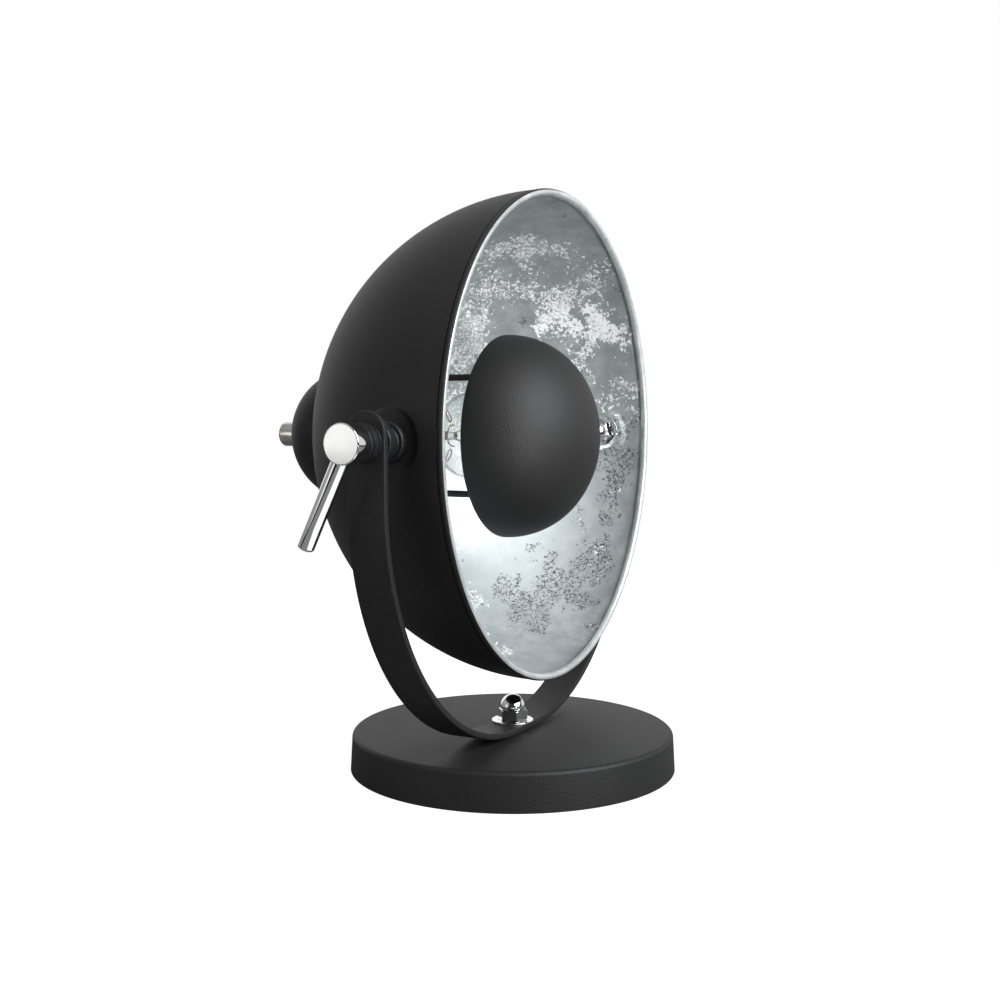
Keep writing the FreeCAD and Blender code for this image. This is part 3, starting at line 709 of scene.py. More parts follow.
# ---------------------------------------------------------------- geometry trees
def ridge_tree():
    """Round ridge that follows a helix."""
    tree, given, result = grouped(
        "Helical ridge",
        {
            "Radius": ("Float", 0.01),
            "Pitch": ("Float", 0.003),
            "Turns": ("Float", 5.0),
            "Ridge radius": ("Float", 0.001),
            "Points per turn": ("Int", 48),
            "Material": ("Material", None),
        },
        {"Geometry": "Geometry"},
        "GeometryNodeTree",
    )
    winding = {
        "Resolution": given["Points per turn"],
        "Rotations": given["Turns"],
        "Start Radius": given["Radius"],
        "End Radius": given["Radius"],
        "Height": given["Pitch"] * given["Turns"],
    }
    helix = add_node(tree, "GeometryNodeCurveSpiral", winding)
    circle = {"Resolution": 12, "Radius": given["Ridge radius"]}
    profile = add_node(tree, "GeometryNodeCurvePrimitiveCircle", circle)
    sweep = {"Curve": Flow(helix), "Profile Curve": Flow(profile), "Fill Caps": True}
    close_tree(Flow(add_node(tree, "GeometryNodeCurveToMesh", sweep)), given, result)
    return tree


def row_tree():
    """Copies of one piece in a straight row."""
    tree, given, result = grouped(
        "Row of pieces",
        {
            "Piece": ("Object", None),
            "Count": ("Int", 2),
            "First place": ("Vector", (0, 0, 0)),
            "Step": ("Vector", (0, 0, 0.01)),
            "Material": ("Material", None),
        },
        {"Geometry": "Geometry"},
        "GeometryNodeTree",
    )
    spread = {
        "Count": given["Count"],
        "Start Location": given["First place"],
        "Offset": given["Step"],
    }
    row = add_node(tree, "GeometryNodeMeshLine", spread)
    piece = {"Object": given["Piece"], "As Instance": True}
    source = Flow(add_node(tree, "GeometryNodeObjectInfo", piece), "Geometry")
    copies = {"Points": Flow(row), "Instance": source}
    close_tree(Flow(add_node(tree, "GeometryNodeInstanceOnPoints", copies)), given, result)
    return tree


def close_tree(geometry, given, result):
    """Realize the instances and set the material at the end of a tree."""
    real = add_node(geometry.tree, "GeometryNodeRealizeInstances", {"Geometry": geometry})
    coat = {"Geometry": Flow(real), "Material": given["Material"]}
    feed(result, {"Geometry": Flow(add_node(geometry.tree, "GeometryNodeSetMaterial", coat))})


def grown(label, finish, **values):
    """Plain mesh that a geometry tree makes from its named inputs."""
    carrier = bpy.data.objects.new("carrier", bpy.data.meshes.new("carrier"))
    bpy.context.scene.collection.objects.link(carrier)
    modifier = carrier.modifiers.new("tree", "NODES")
    modifier.node_group = GROUPS[label]
    values["Material"] = FINISHES[finish]
    for item in GROUPS[label].interface.items_tree:
        key = item.name.replace(" ", "_")
        if item.in_out == "INPUT" and key in values:
            modifier[item.identifier] = values[key]
    bpy.context.view_layer.update()
    seen = carrier.evaluated_get(bpy.context.evaluated_depsgraph_get())
    mesh = bpy.data.meshes.new_from_object(seen)
    bpy.data.objects.remove(carrier)
    return mesh


def joined(name, pieces, sharp, *finishes):
    """One object from several meshes; each entry is (mesh, place of its finish)."""
    build = bmesh.new()
    for mesh, slot in pieces:
        before = len(build.faces)
        build.from_mesh(mesh)
        build.faces.ensure_lookup_table()
        for face in build.faces[before:]:
            face.material_index = slot
        bpy.data.meshes.remove(mesh)
    return to_object(name, build, sharp, *finishes)


def threaded(name, outline, segments, foot, finish, **thread):
    """Turned sleeve on the optical axis with a rolled ridge that winds round it."""
    build = turned(outline, OPTICAL, segments)
    sleeve = bpy.data.meshes.new("sleeve")
    build.to_mesh(sleeve)
    build.free()
    ridge = grown("ridge", finish, **thread)
    ridge.transform(OPTICAL @ Matrix.Translation((0, 0, foot)))
    return joined(name, [(sleeve, 0), (ridge, 0)], 40.0, finish)


def pair_of(name, pattern, place_y, spacing, sharp):
    """Two copies of a zinc-plated pattern, as far below the optical axis as above it."""
    mesh = grown(
        "row",
        "zinc",
        Piece=pattern,
        Count=2,
        First_place=(0.0, place_y, PIVOT.z - spacing / 2),
        Step=(0.0, 0.0, spacing),
    )
    bpy.data.objects.remove(pattern)
    return mesh_object(name, mesh, sharp)


# ---------------------------------------------------------------- base and yoke
def build_base(sizes):
    """Pressed cover with a soft upper edge and an open underside."""
    low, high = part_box("base_cover")
    wall = sizes.wall
    top_radius = high.x - 1.0 * MM
    hole = 4.2 * MM
    foot_edge = 0.2 * MM
    outline = softened(
        [
            (hole, high.z, 0),
            (top_radius, high.z, sizes.edge_radius),
            (high.x, low.z, foot_edge),
            (high.x - wall, low.z, foot_edge),
            (top_radius - wall, high.z - wall, sizes.edge_radius - wall / 2),
            (hole, high.z - wall, 0),
        ],
        8,
    )
    cover = turned_piece("base_shell", outline, Matrix.Identity(4), 256, "powder")
    dress(cover, "base", "black_paint", "base_cover")


def round_end(radius, drop):
    """Half width of a rounded end at a distance from its tip."""
    return math.sqrt(radius**2 - max(radius - drop, 0.0) ** 2)


def strap_stations(sizes):
    """Centre line of the strap from the left arm's end to the right arm's end.

    Each station is (x, z, outward x, outward z, half width, half thickness)."""
    low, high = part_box("yoke")
    half = sizes.strap_thickness / 2
    half_width = (high.y - low.y) / 2
    edge = sizes.strap_edge_radius
    tip_gap = 0.004 * MM
    centre_x = high.x - half
    bend = centre_x - sizes.strap_flat_half
    bend_z = low.z + half + bend
    shoulder = high.z - half_width
    arm = []
    for share in shares(22):
        drop = half_width * (1 - math.cos(math.pi / 2 * share)) + tip_gap
        thick = half - edge + round_end(edge, drop)
        arm.append((centre_x, high.z - drop, 1.0, 0.0, round_end(half_width, drop), thick))
    for share in shares(7)[1:-1]:
        z = shoulder + (bend_z - shoulder) * share
        arm.append((centre_x, z, 1.0, 0.0, half_width, half))
    for share in shares(64):
        angle = math.pi / 2 * share
        out_x = math.cos(angle)
        out_z = -math.sin(angle)
        x = sizes.strap_flat_half + bend * out_x
        arm.append((x, bend_z + bend * out_z, out_x, out_z, half_width, half))
    left = [(-x, z, -out_x, *rest) for x, z, out_x, *rest in arm]
    middle = [(0.0, low.z + half, 0.0, -1.0, half_width, half)]
    return left + middle + arm[::-1]


def build_yoke(sizes):
    """Bent strap with rounded arm ends and softened edges."""
    build = bmesh.new()
    rings = []
    for x, z, out_x, out_z, width, thick in strap_stations(sizes):
        corner = min(sizes.strap_edge_radius, width, thick)
        ring = []
        for quarter, (sign_y, sign_n) in enumerate(((1, 1), (-1, 1), (-1, -1), (1, -1))):
            for share in shares(4):
                angle = math.pi / 2 * (quarter + share)
                y = sign_y * (width - corner) + corner * math.cos(angle)
                n = sign_n * (thick - corner) + corner * math.sin(angle)
                ring.append(build.verts.new((x + out_x * n, y, z + out_z * n)))
        rings.append(ring)
    skin(build, [[], *rings, []])
    dress(to_object("yoke_strap", build, 40.0, "powder"), "yoke", "black_paint", "yoke")


# ---------------------------------------------------------------- shade
def press_seats(build, sizes):
    """Press the two round flats at the pivots, on finer faces."""
    centre = Vector((0, SHELL_CENTRE_Y, PIVOT.z))
    seat_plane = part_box("right_spacer")[0].x
    beside = 80 * MM
    blend = 2.6 * MM
    outer_margin = 0.4 * MM
    inner_margin = 1.2 * MM
    moved_zone = sizes.seat_radius * 1.9
    for fine_zone in (sizes.seat_radius * 1.75, sizes.seat_radius * 1.575):
        edges = []
        for face in build.faces:
            spot = face.calc_center_median() - PIVOT
            if abs(spot.x) > beside and math.hypot(spot.y, spot.z) < fine_zone:
                edges += face.edges
        edges = list(dict.fromkeys(edges))
        bmesh.ops.subdivide_edges(build, edges=edges, cuts=1, use_grid_fill=True)
    for vertex in build.verts:
        spot = vertex.co - PIVOT
        reach = math.hypot(spot.y, spot.z)
        if abs(spot.x) < beside or reach > moved_zone:
            continue
        arm = vertex.co - centre
        outside = arm.length > SHELL_RADIUS - sizes.wall / 2
        depth = 0.0 if outside else sizes.wall
        on_ball = centre + arm.normalized() * (SHELL_RADIUS - depth)
        inner = sizes.seat_radius - (outer_margin if outside else inner_margin)
        share = min(max((reach - inner) / blend, 0.0), 1.0)
        share = share * share * (3 - 2 * share)
        flat_x = math.copysign(seat_plane - depth, spot.x)
        vertex.co = on_ball
        vertex.co.x = flat_x * (1 - share) + on_ball.x * share


def build_shade(sizes):
    """Spun shell: black outside, silver leaf inside, rolled rim and pressed seats."""
    centre = (0, SHELL_CENTRE_Y)
    inner = SHELL_RADIUS - sizes.wall
    hole = sizes.tube_hole_radius
    mouth = math.asin((MOUTH_Y - SHELL_CENTRE_Y) / SHELL_RADIUS)
    bead = sizes.bead_radius
    bead_centre = (SHELL_RADIUS + sizes.bead_proud - bead, MOUTH_Y)
    groove = inner + 0.2 * MM
    outer_end = mouth + 0.012
    groove_start = mouth + 0.021
    groove_end = mouth + 0.025
    inner_start = mouth + 0.030
    outer_line = arc_points(centre, SHELL_RADIUS, math.acos(hole / SHELL_RADIUS), outer_end, 72)
    bead_line = arc_points(bead_centre, bead, math.radians(72), math.radians(-218), 30)
    groove_line = arc_points(centre, groove, groove_start, groove_end, 2)
    inner_line = arc_points(centre, inner, inner_start, math.acos(hole / inner), 72)
    black_points = 13
    black, leaf, rim = range(3)
    stretches = (
        (outer_line + bead_line[:black_points], black),
        (bead_line[black_points:], rim),
        (groove_line + inner_line, leaf),
    )
    outline = [point for line, slot in stretches for point in line]
    slots = [slot for line, slot in stretches for point in line]
    slots[-1] = black
    build = turned(outline, OPTICAL, sizes.segments, slots)
    press_seats(build, sizes)
    shell = to_object("shade_shell", build, 50.0, "powder", "leaf", "rim")
    dress(shell, "head", "black_paint", "shade")


def small_dome_arcs(shrink, sizes):
    """Side and crown of the small dome as points (radius, along) from rim to crown."""
    radius = DOME_HIGH.x - shrink
    depth = DOME_HIGH.y - DOME_LOW.y - shrink
    crown = sizes.crown_radius - shrink
    side = (radius**2 + depth**2 - 2 * crown * depth) / (2 * (radius - crown))
    side_centre = (radius - side, DOME_HIGH.y)
    crown_centre = (0.0, DOME_HIGH.y - depth + crown)
    turn = math.atan2(side_centre[1] - crown_centre[1], side_centre[0])
    points = arc_points(side_centre, side, 0.0, turn, 24)
    return points + arc_points(crown_centre, crown, turn, -math.pi / 2, 40)[1:]


def crown_wall(radius, sizes):
    """Place along y of the middle of the small dome's wall, at a distance from its axis."""
    middle = sizes.crown_radius - sizes.wall / 2
    return DOME_LOW.y + sizes.crown_radius - math.sqrt(middle**2 - radius**2)


def build_small_dome(sizes):
    """Small dome with a rounded rim, on its two rods."""
    half = sizes.wall / 2
    lip = arc_points((DOME_HIGH.x - half, DOME_HIGH.y - half), half, math.pi, 0.0, 6)
    outer = small_dome_arcs(0.0, sizes)
    inner = small_dome_arcs(sizes.wall, sizes)
    outline = inner[::-1][:-2] + lip + outer[2:]
    dome = turned_piece("small_dome", outline, OPTICAL, 192, "powder", 50.0)
    dress(dome, "head", "black_paint", "glare_dome")
    for label in ("upper_dome_rod", "lower_dome_rod"):
        low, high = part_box(label)
        radius = (high.x - low.x) / 2
        reach = high.y - low.y
        outline = softened(
            [
                (0, 0, 0),
                (radius, 0, 0.25 * MM),
                (radius, reach - 1.2 * MM, 0.1 * MM),
                (radius * 0.86, reach, 0.2 * MM),
                (0, reach, 0),
            ]
        )
        build = turned(outline, along_y(Vector((0, low.y, (low.z + high.z) / 2))), 40)
        for corner in build.verts:
            if corner.co.y < low.y + reach / 4:
                away = math.hypot(corner.co.x, corner.co.z - PIVOT.z)
                corner.co.y = crown_wall(away, sizes)
        dress(to_object(label + "_bar", build, 35.0, "powder"), "head", "black_paint", label)


def build_rear_cap(sizes):
    """Rear cap, flattened under the gland, and the turned gland."""
    low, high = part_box("rear_cap")
    radius = high.x
    wall = 1.2 * MM
    inner = radius - wall
    centre = (0, low.y + 1.4 * MM)
    flat_radius = 8.0 * MM
    hole = sizes.tube_hole_radius
    edge = 0.25 * MM
    inner_turn = math.asin((high.y - wall - centre[1]) / inner)
    outline = [(radius - edge, low.y), (radius, low.y + edge)]
    outline += arc_points(centre, radius, 0.0, math.acos(flat_radius / radius), 48)
    outline += [(hole, high.y), (hole, high.y - wall)]
    outline += arc_points(centre, inner, inner_turn, 0.0, 40)
    outline.append((inner, low.y))
    cap = turned_piece("rear_cap_shell", outline, OPTICAL, 160, "powder", 40.0)
    dress(cap, "head", "black_paint", "rear_cap")

    low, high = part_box("cord_gland")
    bore = 3.25 * MM
    socket = 5.0 * MM
    grip = low.y + 5.0 * MM
    outline = softened(
        [
            (socket, low.y, 0),
            (high.x, low.y, 0.25 * MM),
            (high.x, high.y, 1.4 * MM),
            (bore, high.y, 0.7 * MM),
            (bore, grip, 0),
            (socket, grip, 0),
        ],
        6,
    )
    gland = turned_piece("gland_body", outline, OPTICAL, 96, "satin")
    dress(gland, "head", "chrome", "cord_gland")


# ---------------------------------------------------------------- nuts and washers
def nut_rows(across, height, top):
    """Rows (height, limiting radius) of a chamfered hexagon from its underside up."""
    corner = across / math.sqrt(3)
    flat = across / 2
    foot = flat * 0.985
    chamfer = corner - flat
    rows = [(chamfer / 2 * share, foot + (corner - foot) * share) for share in shares(6)]
    for share in shares(6):
        limit = corner - (corner - flat * top) * share**1.4
        rows.append((height - chamfer + chamfer * share, limit))
    return rows


def hexagon_reach(across, angle):
    """Distance from the middle to the side of a hexagon in one direction."""
    local = math.fmod(angle + math.pi / 6 + math.tau, math.pi / 3) - math.pi / 6
    return across / 2 / math.cos(local)


def nut_body(place, across, hexagon, segments, lower, upper, tip=None):
    """Chamfered hexagon from its rows, between round ends and closed by its bore or a tip."""
    build = bmesh.new()
    sides = [hexagon_reach(across, math.tau * step / segments) for step in range(segments)]
    rows = [(along, [radius] * segments) for along, radius in lower]
    rows += [(along, [min(limit, side) for side in sides]) for along, limit in hexagon]
    rows += [(along, [radius] * segments) for along, radius in upper]
    rings = [ring_into(build, place, along, reaches) for along, reaches in rows]
    if tip is None:
        skin(build, rings + rings[:1])
        return build
    skin(build, [[], *rings])
    point = build.verts.new(place @ Vector((0, 0, tip)))
    for step in range(segments):
        build.faces.new((rings[-1][step - 1], rings[-1][step], point))
    return build


def cap_nut(name, place):
    """Domed nut with a chamfered hexagon."""
    low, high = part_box("base_dome_nut")
    height = high.z - low.z
    across = 13.0 * MM
    hexagon_height = 5.6 * MM
    dome = 6.25 * MM
    centre = height - dome
    start = math.asin((hexagon_height + 0.15 * MM - centre) / dome)
    upper = [(hexagon_height, 6.05 * MM)]
    for share in shares(25)[1:-1]:
        turn = start + (math.pi / 2 - start) * share
        upper.append((centre + dome * math.sin(turn), dome * math.cos(turn)))
    hexagon = nut_rows(across, hexagon_height, 0.97)
    build = nut_body(place, across, hexagon, 96, [], upper, height)
    return to_object(name, build, 24.0, "chrome")


def washer_outline(outside, inside, start, end, fillet):
    """Flat ring with softened edges."""
    return softened(
        [
            (inside, start, fillet * 0.6),
            (outside, start, fillet),
            (outside, end, fillet),
            (inside, end, fillet * 0.6),
        ]
    )


# ---------------------------------------------------------------- pivots and levers
STUD_HOLE = 4.1 * MM
WASHER_HOLE = 4.2 * MM


def hub_outline():
    """Boss with two grooves round it."""
    low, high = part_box("right_hub")
    radius = high.z - PIVOT.z
    groove = 0.8 * MM
    depth = 0.7 * MM
    edge = 0.15 * MM
    corners = [(STUD_HOLE, low.x, 0), (radius, low.x, 0.25 * MM)]
    for offset in (1.5 * MM, 5.4 * MM):
        near = low.x + offset - groove / 2
        far = near + groove
        corners += [
            (radius, near, edge),
            (radius - depth, near, edge),
            (radius - depth, far, edge),
            (radius, far, edge),
        ]
    return softened(corners + [(radius, high.x, 0.35 * MM), (STUD_HOLE, high.x, 0)])


def bush_outline():
    """Bush with a flange against the shade."""
    low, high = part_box("right_spacer")
    flange = high.z - PIVOT.z
    flange_end = low.x + 3.6 * MM
    bush_end = high.x - 0.04 * MM
    neck = 6.5 * MM
    return softened(
        [
            (STUD_HOLE, low.x, 0),
            (flange, low.x, 0.3 * MM),
            (flange, flange_end, 0.9 * MM),
            (neck, flange_end, 0.6 * MM),
            (neck, bush_end, 0.2 * MM),
            (STUD_HOLE, bush_end, 0),
        ]
    )


def build_pivots():
    """Hubs, friction washers, spacers and the nuts and washers inside the shade."""
    disc_low, disc_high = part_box("right_friction_washer")
    disc = washer_outline(disc_high.z - PIVOT.z, STUD_HOLE, disc_low.x, disc_high.x, 0.5 * MM)
    low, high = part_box("right_inner_washer")
    washer = washer_outline(high.z - PIVOT.z, WASHER_HOLE, low.x, high.x, 0.22 * MM)
    pieces = (
        ("_hub_boss", hub_outline(), "plastic", "yoke", "black_plastic", "_hub"),
        ("_friction_disc", disc, "plastic", "yoke", "black_plastic", "_friction_washer"),
        ("_flanged_bush", bush_outline(), "plastic", "head", "black_plastic", "_spacer"),
        ("_inner_ring", washer, "chrome", "head", "chrome", "_inner_washer"),
    )
    for label, side in SIDES:
        for name, outline, finish, body, slot, node in pieces:
            piece = turned_piece(label + name, outline, along_x(side), 96, finish)
            dress(piece, body, slot, label + node)
        inward = along_line(PIVOT + Vector((side * low.x, 0, 0)), Vector((-side, 0, 0)))
        inward = inward @ Matrix.Rotation(math.radians(18), 4, "Z")
        nut = cap_nut(label + "_inner_cap_nut", inward)
        dress(nut, "head", "chrome", label + "_inner_nut")


def build_levers():
    """Round lever heads with their rods."""
    low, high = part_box("right_lever_head")
    head_radius = 8.3 * MM
    bore_end = high.x - 2.6 * MM
    turn = math.radians(26)
    direction = Vector((0, math.sin(turn), -math.cos(turn)))
    rod_radius = 3.5 * MM
    rod_start = 5.2 * MM
    rod_length = 47.0 * MM - rod_start
    barrel_outline = softened(
        [
            (STUD_HOLE, low.x, 0),
            (head_radius, low.x, 0.45 * MM),
            (head_radius, high.x, 0.55 * MM),
            (0, high.x, 0),
            (0, bore_end, 0),
            (STUD_HOLE, bore_end, 0),
        ],
        6,
    )
    rod_outline = softened(
        [
            (0, 0, 0),
            (rod_radius, 0, 0.2 * MM),
            (rod_radius, rod_length, 1.3 * MM),
            (0, rod_length, 0),
        ],
        8,
    )
    for label, side in SIDES:
        lever = label + "_lever"
        place = along_x(side)
        barrel = turned_piece(lever + "_barrel", barrel_outline, place, 160, "chrome", 28.0)
        dress(barrel, lever, "chrome", lever + "_head")
        middle = PIVOT + Vector((side * (low.x + high.x) / 2, 0, 0))
        place = along_line(middle + direction * rod_start, direction)
        bar = turned_piece(lever + "_bar", rod_outline, place, 96, "chrome", 28.0)
        dress(bar, lever, "chrome", lever + "_rod")


# ---------------------------------------------------------------- fasteners
def build_fasteners():
    """Base nut and washer, and the small nuts and screws of the bracket."""
    low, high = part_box("base_dome_nut")
    place = Matrix.Translation((0, 0, low.z)) @ Matrix.Rotation(math.radians(12), 4, "Z")
    dress(cap_nut("base_cap_nut", place), "base", "chrome", "base_dome_nut")
    low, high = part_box("base_washer")
    outline = washer_outline(high.x, WASHER_HOLE, low.z, high.z, 0.28 * MM)
    washer = turned_piece("base_wide_washer", outline, Matrix.Identity(4), 128, "chrome")
    dress(washer, "base", "chrome", "base_washer")

    low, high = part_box("rod_nuts")
    rod_low, rod_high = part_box("upper_dome_rod")
    across = 6.0 * MM
    thick = high.y - low.y
    bore = 1.65 * MM
    facing = along_y(Vector((0, 0, 0))) @ Matrix.Rotation(math.pi, 4, "X")
    hexagon = nut_rows(across, thick, 0.98)
    build = nut_body(facing, across, hexagon, 48, [(0.0, bore)], [(thick, bore)])
    pattern = to_object("rod_nut_pattern", build, 24.0, "zinc")
    spacing = rod_high.z + rod_low.z - 2 * PIVOT.z
    nuts = pair_of("rod_nut_pair", pattern, high.y, spacing, 24.0)
    dress(nuts, "head", "zinc_steel", "rod_nuts")

    low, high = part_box("holder_screws")
    pattern = holder_screw(high.y - low.y)
    screws = pair_of("holder_screw_pair", pattern, low.y, 24.0 * MM, 30.0)
    dress(screws, "head", "zinc_steel", "holder_screws")


def holder_screw(reach):
    """Cheese-head screw with a slot, its tip at the origin and its head towards +Y."""
    head = reach - 1.8 * MM
    shank = 1.5 * MM
    radius = 2.8 * MM
    slot_half = 0.56 * MM
    slot_depth = 0.7 * MM
    outline = softened(
        [
            (0, 0.0, 0),
            (shank, 0.0, 0.3 * MM),
            (shank, head, 0),
            (radius, head, 0.2 * MM),
            (radius, reach, 0.45 * MM),
            (0, reach, 0),
        ]
    )
    build = turned(outline, along_y(Vector((0, 0, 0))), 48)
    for vertex in build.verts:
        if vertex.co.y > reach - 0.05 * MM and abs(vertex.co.x) < slot_half:
            vertex.co.y -= slot_depth
    return to_object("holder_screw_pattern", build, 30.0, "zinc")


# ---------------------------------------------------------------- holder and bulb
def build_holder():
    """Moulded holder with ribs round its collar, and its threaded brass shell."""
    low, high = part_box("lamp_holder")
    front = low.y
    back = high.y
    radius = high.x
    waist = 17.5 * MM
    mouth = 16.4 * MM
    bore = 5.0 * MM
    floor = back - 6.3 * MM
    step_y = front + 18.8 * MM
    groove = radius - 0.35 * MM
    soft = 0.2 * MM
    corners = [(bore, floor, 0), (mouth, floor, 0.5 * MM), (mouth, front, 0.6 * MM)]
    corners.append((radius, front, 1.5 * MM))
    for number in range(4):
        near = front + (4.0 + 3.4 * number) * MM
        far = near + 1.1 * MM
        corners += [
            (radius, near, soft),
            (groove, near + soft, soft / 2),
            (groove, far - soft, soft / 2),
            (radius, far, soft),
        ]
    corners += [
        (radius, step_y, 0.6 * MM),
        (waist, step_y + radius - waist, 0.6 * MM),
        (waist, back, 0.8 * MM),
        (bore, back, 0),
    ]
    body = turned_piece("holder_body", softened(corners), OPTICAL, 128, "porcelain")
    dress(body, "head", "white_holder", "lamp_holder")

    low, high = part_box("screw_shell")
    shell = 14.3 * MM
    lip = 12.3 * MM
    wall = 0.5 * MM
    inner = shell - wall
    floor = high.y - wall
    outline = softened(
        [
            (lip, high.y, 0),
            (high.x, high.y, 0.1 * MM),
            (high.x, floor, 0.1 * MM),
            (shell, floor, 0.3 * MM),
            (shell, low.y, 0.15 * MM),
            (inner, low.y, 0.15 * MM),
            (inner, floor, 0),
            (lip, floor, 0),
        ]
    )
    brass = threaded(
        "holder_thread",
        outline,
        96,
        low.y + 1.6 * MM,
        "brass",
        Radius=shell - 0.15 * MM,
        Pitch=3.63 * MM,
        Turns=5.4,
        Ridge_radius=0.42 * MM,
        Points_per_turn=72,
    )
    dress(brass, "head", "brass", "screw_shell")


def glass_line(shrink, sizes):
    """Outside or inside of the globe and neck as points (radius, along), front to back."""
    radius = sizes.globe_radius - shrink
    neck = sizes.neck_radius - shrink
    blend = sizes.neck_blend + shrink
    centre = GLASS_LOW.y + sizes.globe_radius
    blend_x = neck + blend
    blend_y = centre + math.sqrt((radius + blend) ** 2 - blend_x**2)
    join = math.atan2(blend_y - centre, blend_x)
    points = arc_points((0, centre), radius, -math.pi / 2, join, 56)
    points += arc_points((blend_x, blend_y), blend, join + math.pi, math.pi, 10)[1:]
    return points + [(neck, GLASS_HIGH.y)]


def build_bulb_cap(sizes):
    """Screw cap of the bulb with its rolled thread."""
    low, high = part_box("bulb_cap")
    ridge = sizes.thread_ridge
    pitch = sizes.thread_pitch
    shell = high.x
    core = shell - ridge
    front = low.y
    back = high.y - 3.2 * MM
    collar_end = front + 2.6 * MM
    core_start = front + 3.8 * MM
    cone_start = core - 1.2 * MM
    cone_end = 6.6 * MM
    wall = 0.4 * MM
    outline = softened(
        [
            (shell - wall, front, 0),
            (shell, front, 0.1 * MM),
            (shell, collar_end, 0.5 * MM),
            (core, core_start, 0.5 * MM),
            (core, back - 1.0 * MM, 0.6 * MM),
            (cone_start, back, 0.6 * MM),
            (cone_end, high.y, 0.1 * MM),
            (cone_end - wall, high.y, 0),
            (cone_start - wall, back - wall, 0),
            (core - wall, core_start, 0),
            (shell - wall, collar_end, 0),
        ]
    )
    foot = front + 4.6 * MM
    cap = threaded(
        "bulb_screw_cap",
        outline,
        128,
        foot,
        "satin",
        Radius=core,
        Pitch=pitch,
        Turns=(back - foot - 1.0 * MM) / pitch,
        Ridge_radius=ridge,
        Points_per_turn=96,
    )
    dress(cap, "head", "bulb_shell", "bulb_cap")


def build_stem():
    """Glass stem inside the globe, with a flare at its foot."""
    low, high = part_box("bulb_stem")
    tip = low.y
    end = high.y
    flare = high.x - 0.1 * MM
    outline = softened(
        [
            (0, tip, 0),
            (1.8 * MM, tip, 0.7 * MM),
            (2.2 * MM, tip + 6.0 * MM, 1.5 * MM),
            (3.6 * MM, tip + 9.0 * MM, 1.5 * MM),
            (3.9 * MM, end - 5.0 * MM, 3.0 * MM),
            (flare, end - 0.8 * MM, 0.2 * MM),
            (flare - 0.5 * MM, end, 0.1 * MM),
            (3.4 * MM, end - 4.6 * MM, 3.0 * MM),
            (3.0 * MM, tip + 9.4 * MM, 1.0 * MM),
            (0, tip + 8.0 * MM, 0),
        ],
        6,
    )
    stem = turned_piece("bulb_glass_stem", outline, OPTICAL, 72, "glass", 50.0)
    dress(stem, "head", "clear_glass", "bulb_stem")


def wire_mesh(points, radius, closed=False):
    """Round wire along a smooth line through a few guiding points."""
    data = bpy.data.curves.new("wire", "CURVE")
    data.dimensions = "3D"
    data.bevel_depth = radius
    data.bevel_resolution = 3
    data.resolution_u = 8
    data.use_fill_caps = not closed
    line = data.splines.new("NURBS")
    line.points.add(len(points) - 1)
    for guide, point in zip(line.points, points):
        guide.co = (*point, 1.0)
    line.order_u = 3
    line.use_endpoint_u = not closed
    line.use_cyclic_u = closed
    carrier = bpy.data.objects.new("wire", data)
    mesh = bpy.data.meshes.new_from_object(carrier)
    bpy.data.objects.remove(carrier)
    return mesh


# Guiding points of the wires in millimetres: how far behind the leads' foot and off the axis.
LEAD_GUIDES = ((1.0, 1.4), (-3.0, 2.4))
LOOP_GUIDES = ((3.6, 6.6), (2.6, 7.5), (3.2, 10.0), (5.2, 13.0), (6.5, 13.0), (5.8, 10.2))
ARM_GUIDES = ((5.0, 0.0), (5.2, 5.8), (1.0, 5.2))


def build_wires():
    """Two lead wires, two support loops with their arms, and the coil between the leads."""
    low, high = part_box("filament")
    lead_radius = 0.42 * MM
    front = low.y + lead_radius
    foot = high.y
    span = (high.z - low.z) / 2 - 0.45 * MM
    pieces = []
    for side in (-1, 1):
        lead, loop, arm = [
            [Vector((0, foot + behind * MM, PIVOT.z + side * out * MM)) for behind, out in guides]
            for guides in (LEAD_GUIDES, LOOP_GUIDES, ARM_GUIDES)
        ]
        lead.append(Vector((0, front, PIVOT.z + side * span)))
        pieces.append((wire_mesh(lead, lead_radius), 0))
        pieces.append((wire_mesh(loop, 0.36 * MM, True), 0))
        pieces.append((wire_mesh(arm, 0.40 * MM), 0))
    turns = 34.0
    coil = grown(
        "ridge",
        "zinc",
        Radius=0.30 * MM,
        Pitch=2 * span / turns,
        Turns=turns,
        Ridge_radius=0.09 * MM,
        Points_per_turn=14,
    )
    coil.transform(Matrix.Translation((0, front + 0.04 * MM, PIVOT.z - span)))
    pieces.append((coil, 1))
    wires = joined("bulb_wires", pieces, 60.0, "copper", "zinc")
    dress(wires, "head", "brass", "filament")


def build_bulb(sizes):
    """Clear globe, screw cap, glass stem, lead wires and coil."""
    outline = glass_line(0.0, sizes) + glass_line(sizes.glass_wall, sizes)[::-1]
    globe = turned_piece("bulb_globe", outline, OPTICAL, 128, "glass", 60.0)
    dress(globe, "head", "clear_glass", "bulb_glass")
    build_bulb_cap(sizes)
    build_stem()
    build_wires()


# ---------------------------------------------------------------- finishes of the frame's own nodes
FRAME_FINISHES = {
    "base_weight": "iron",
    "base_pad": "pad",
    "base_bolt": "zinc",
    "swivel_washer": "clear_plastic",
    "threaded_tube": "zinc",
    "tube_nut": "zinc",
    "holder_bracket": "powder",
    "left_pivot_stud": "zinc",
    "right_pivot_stud": "zinc",
    "centre_contact": "brass",
    "bulb_contact": "black_glass",
}


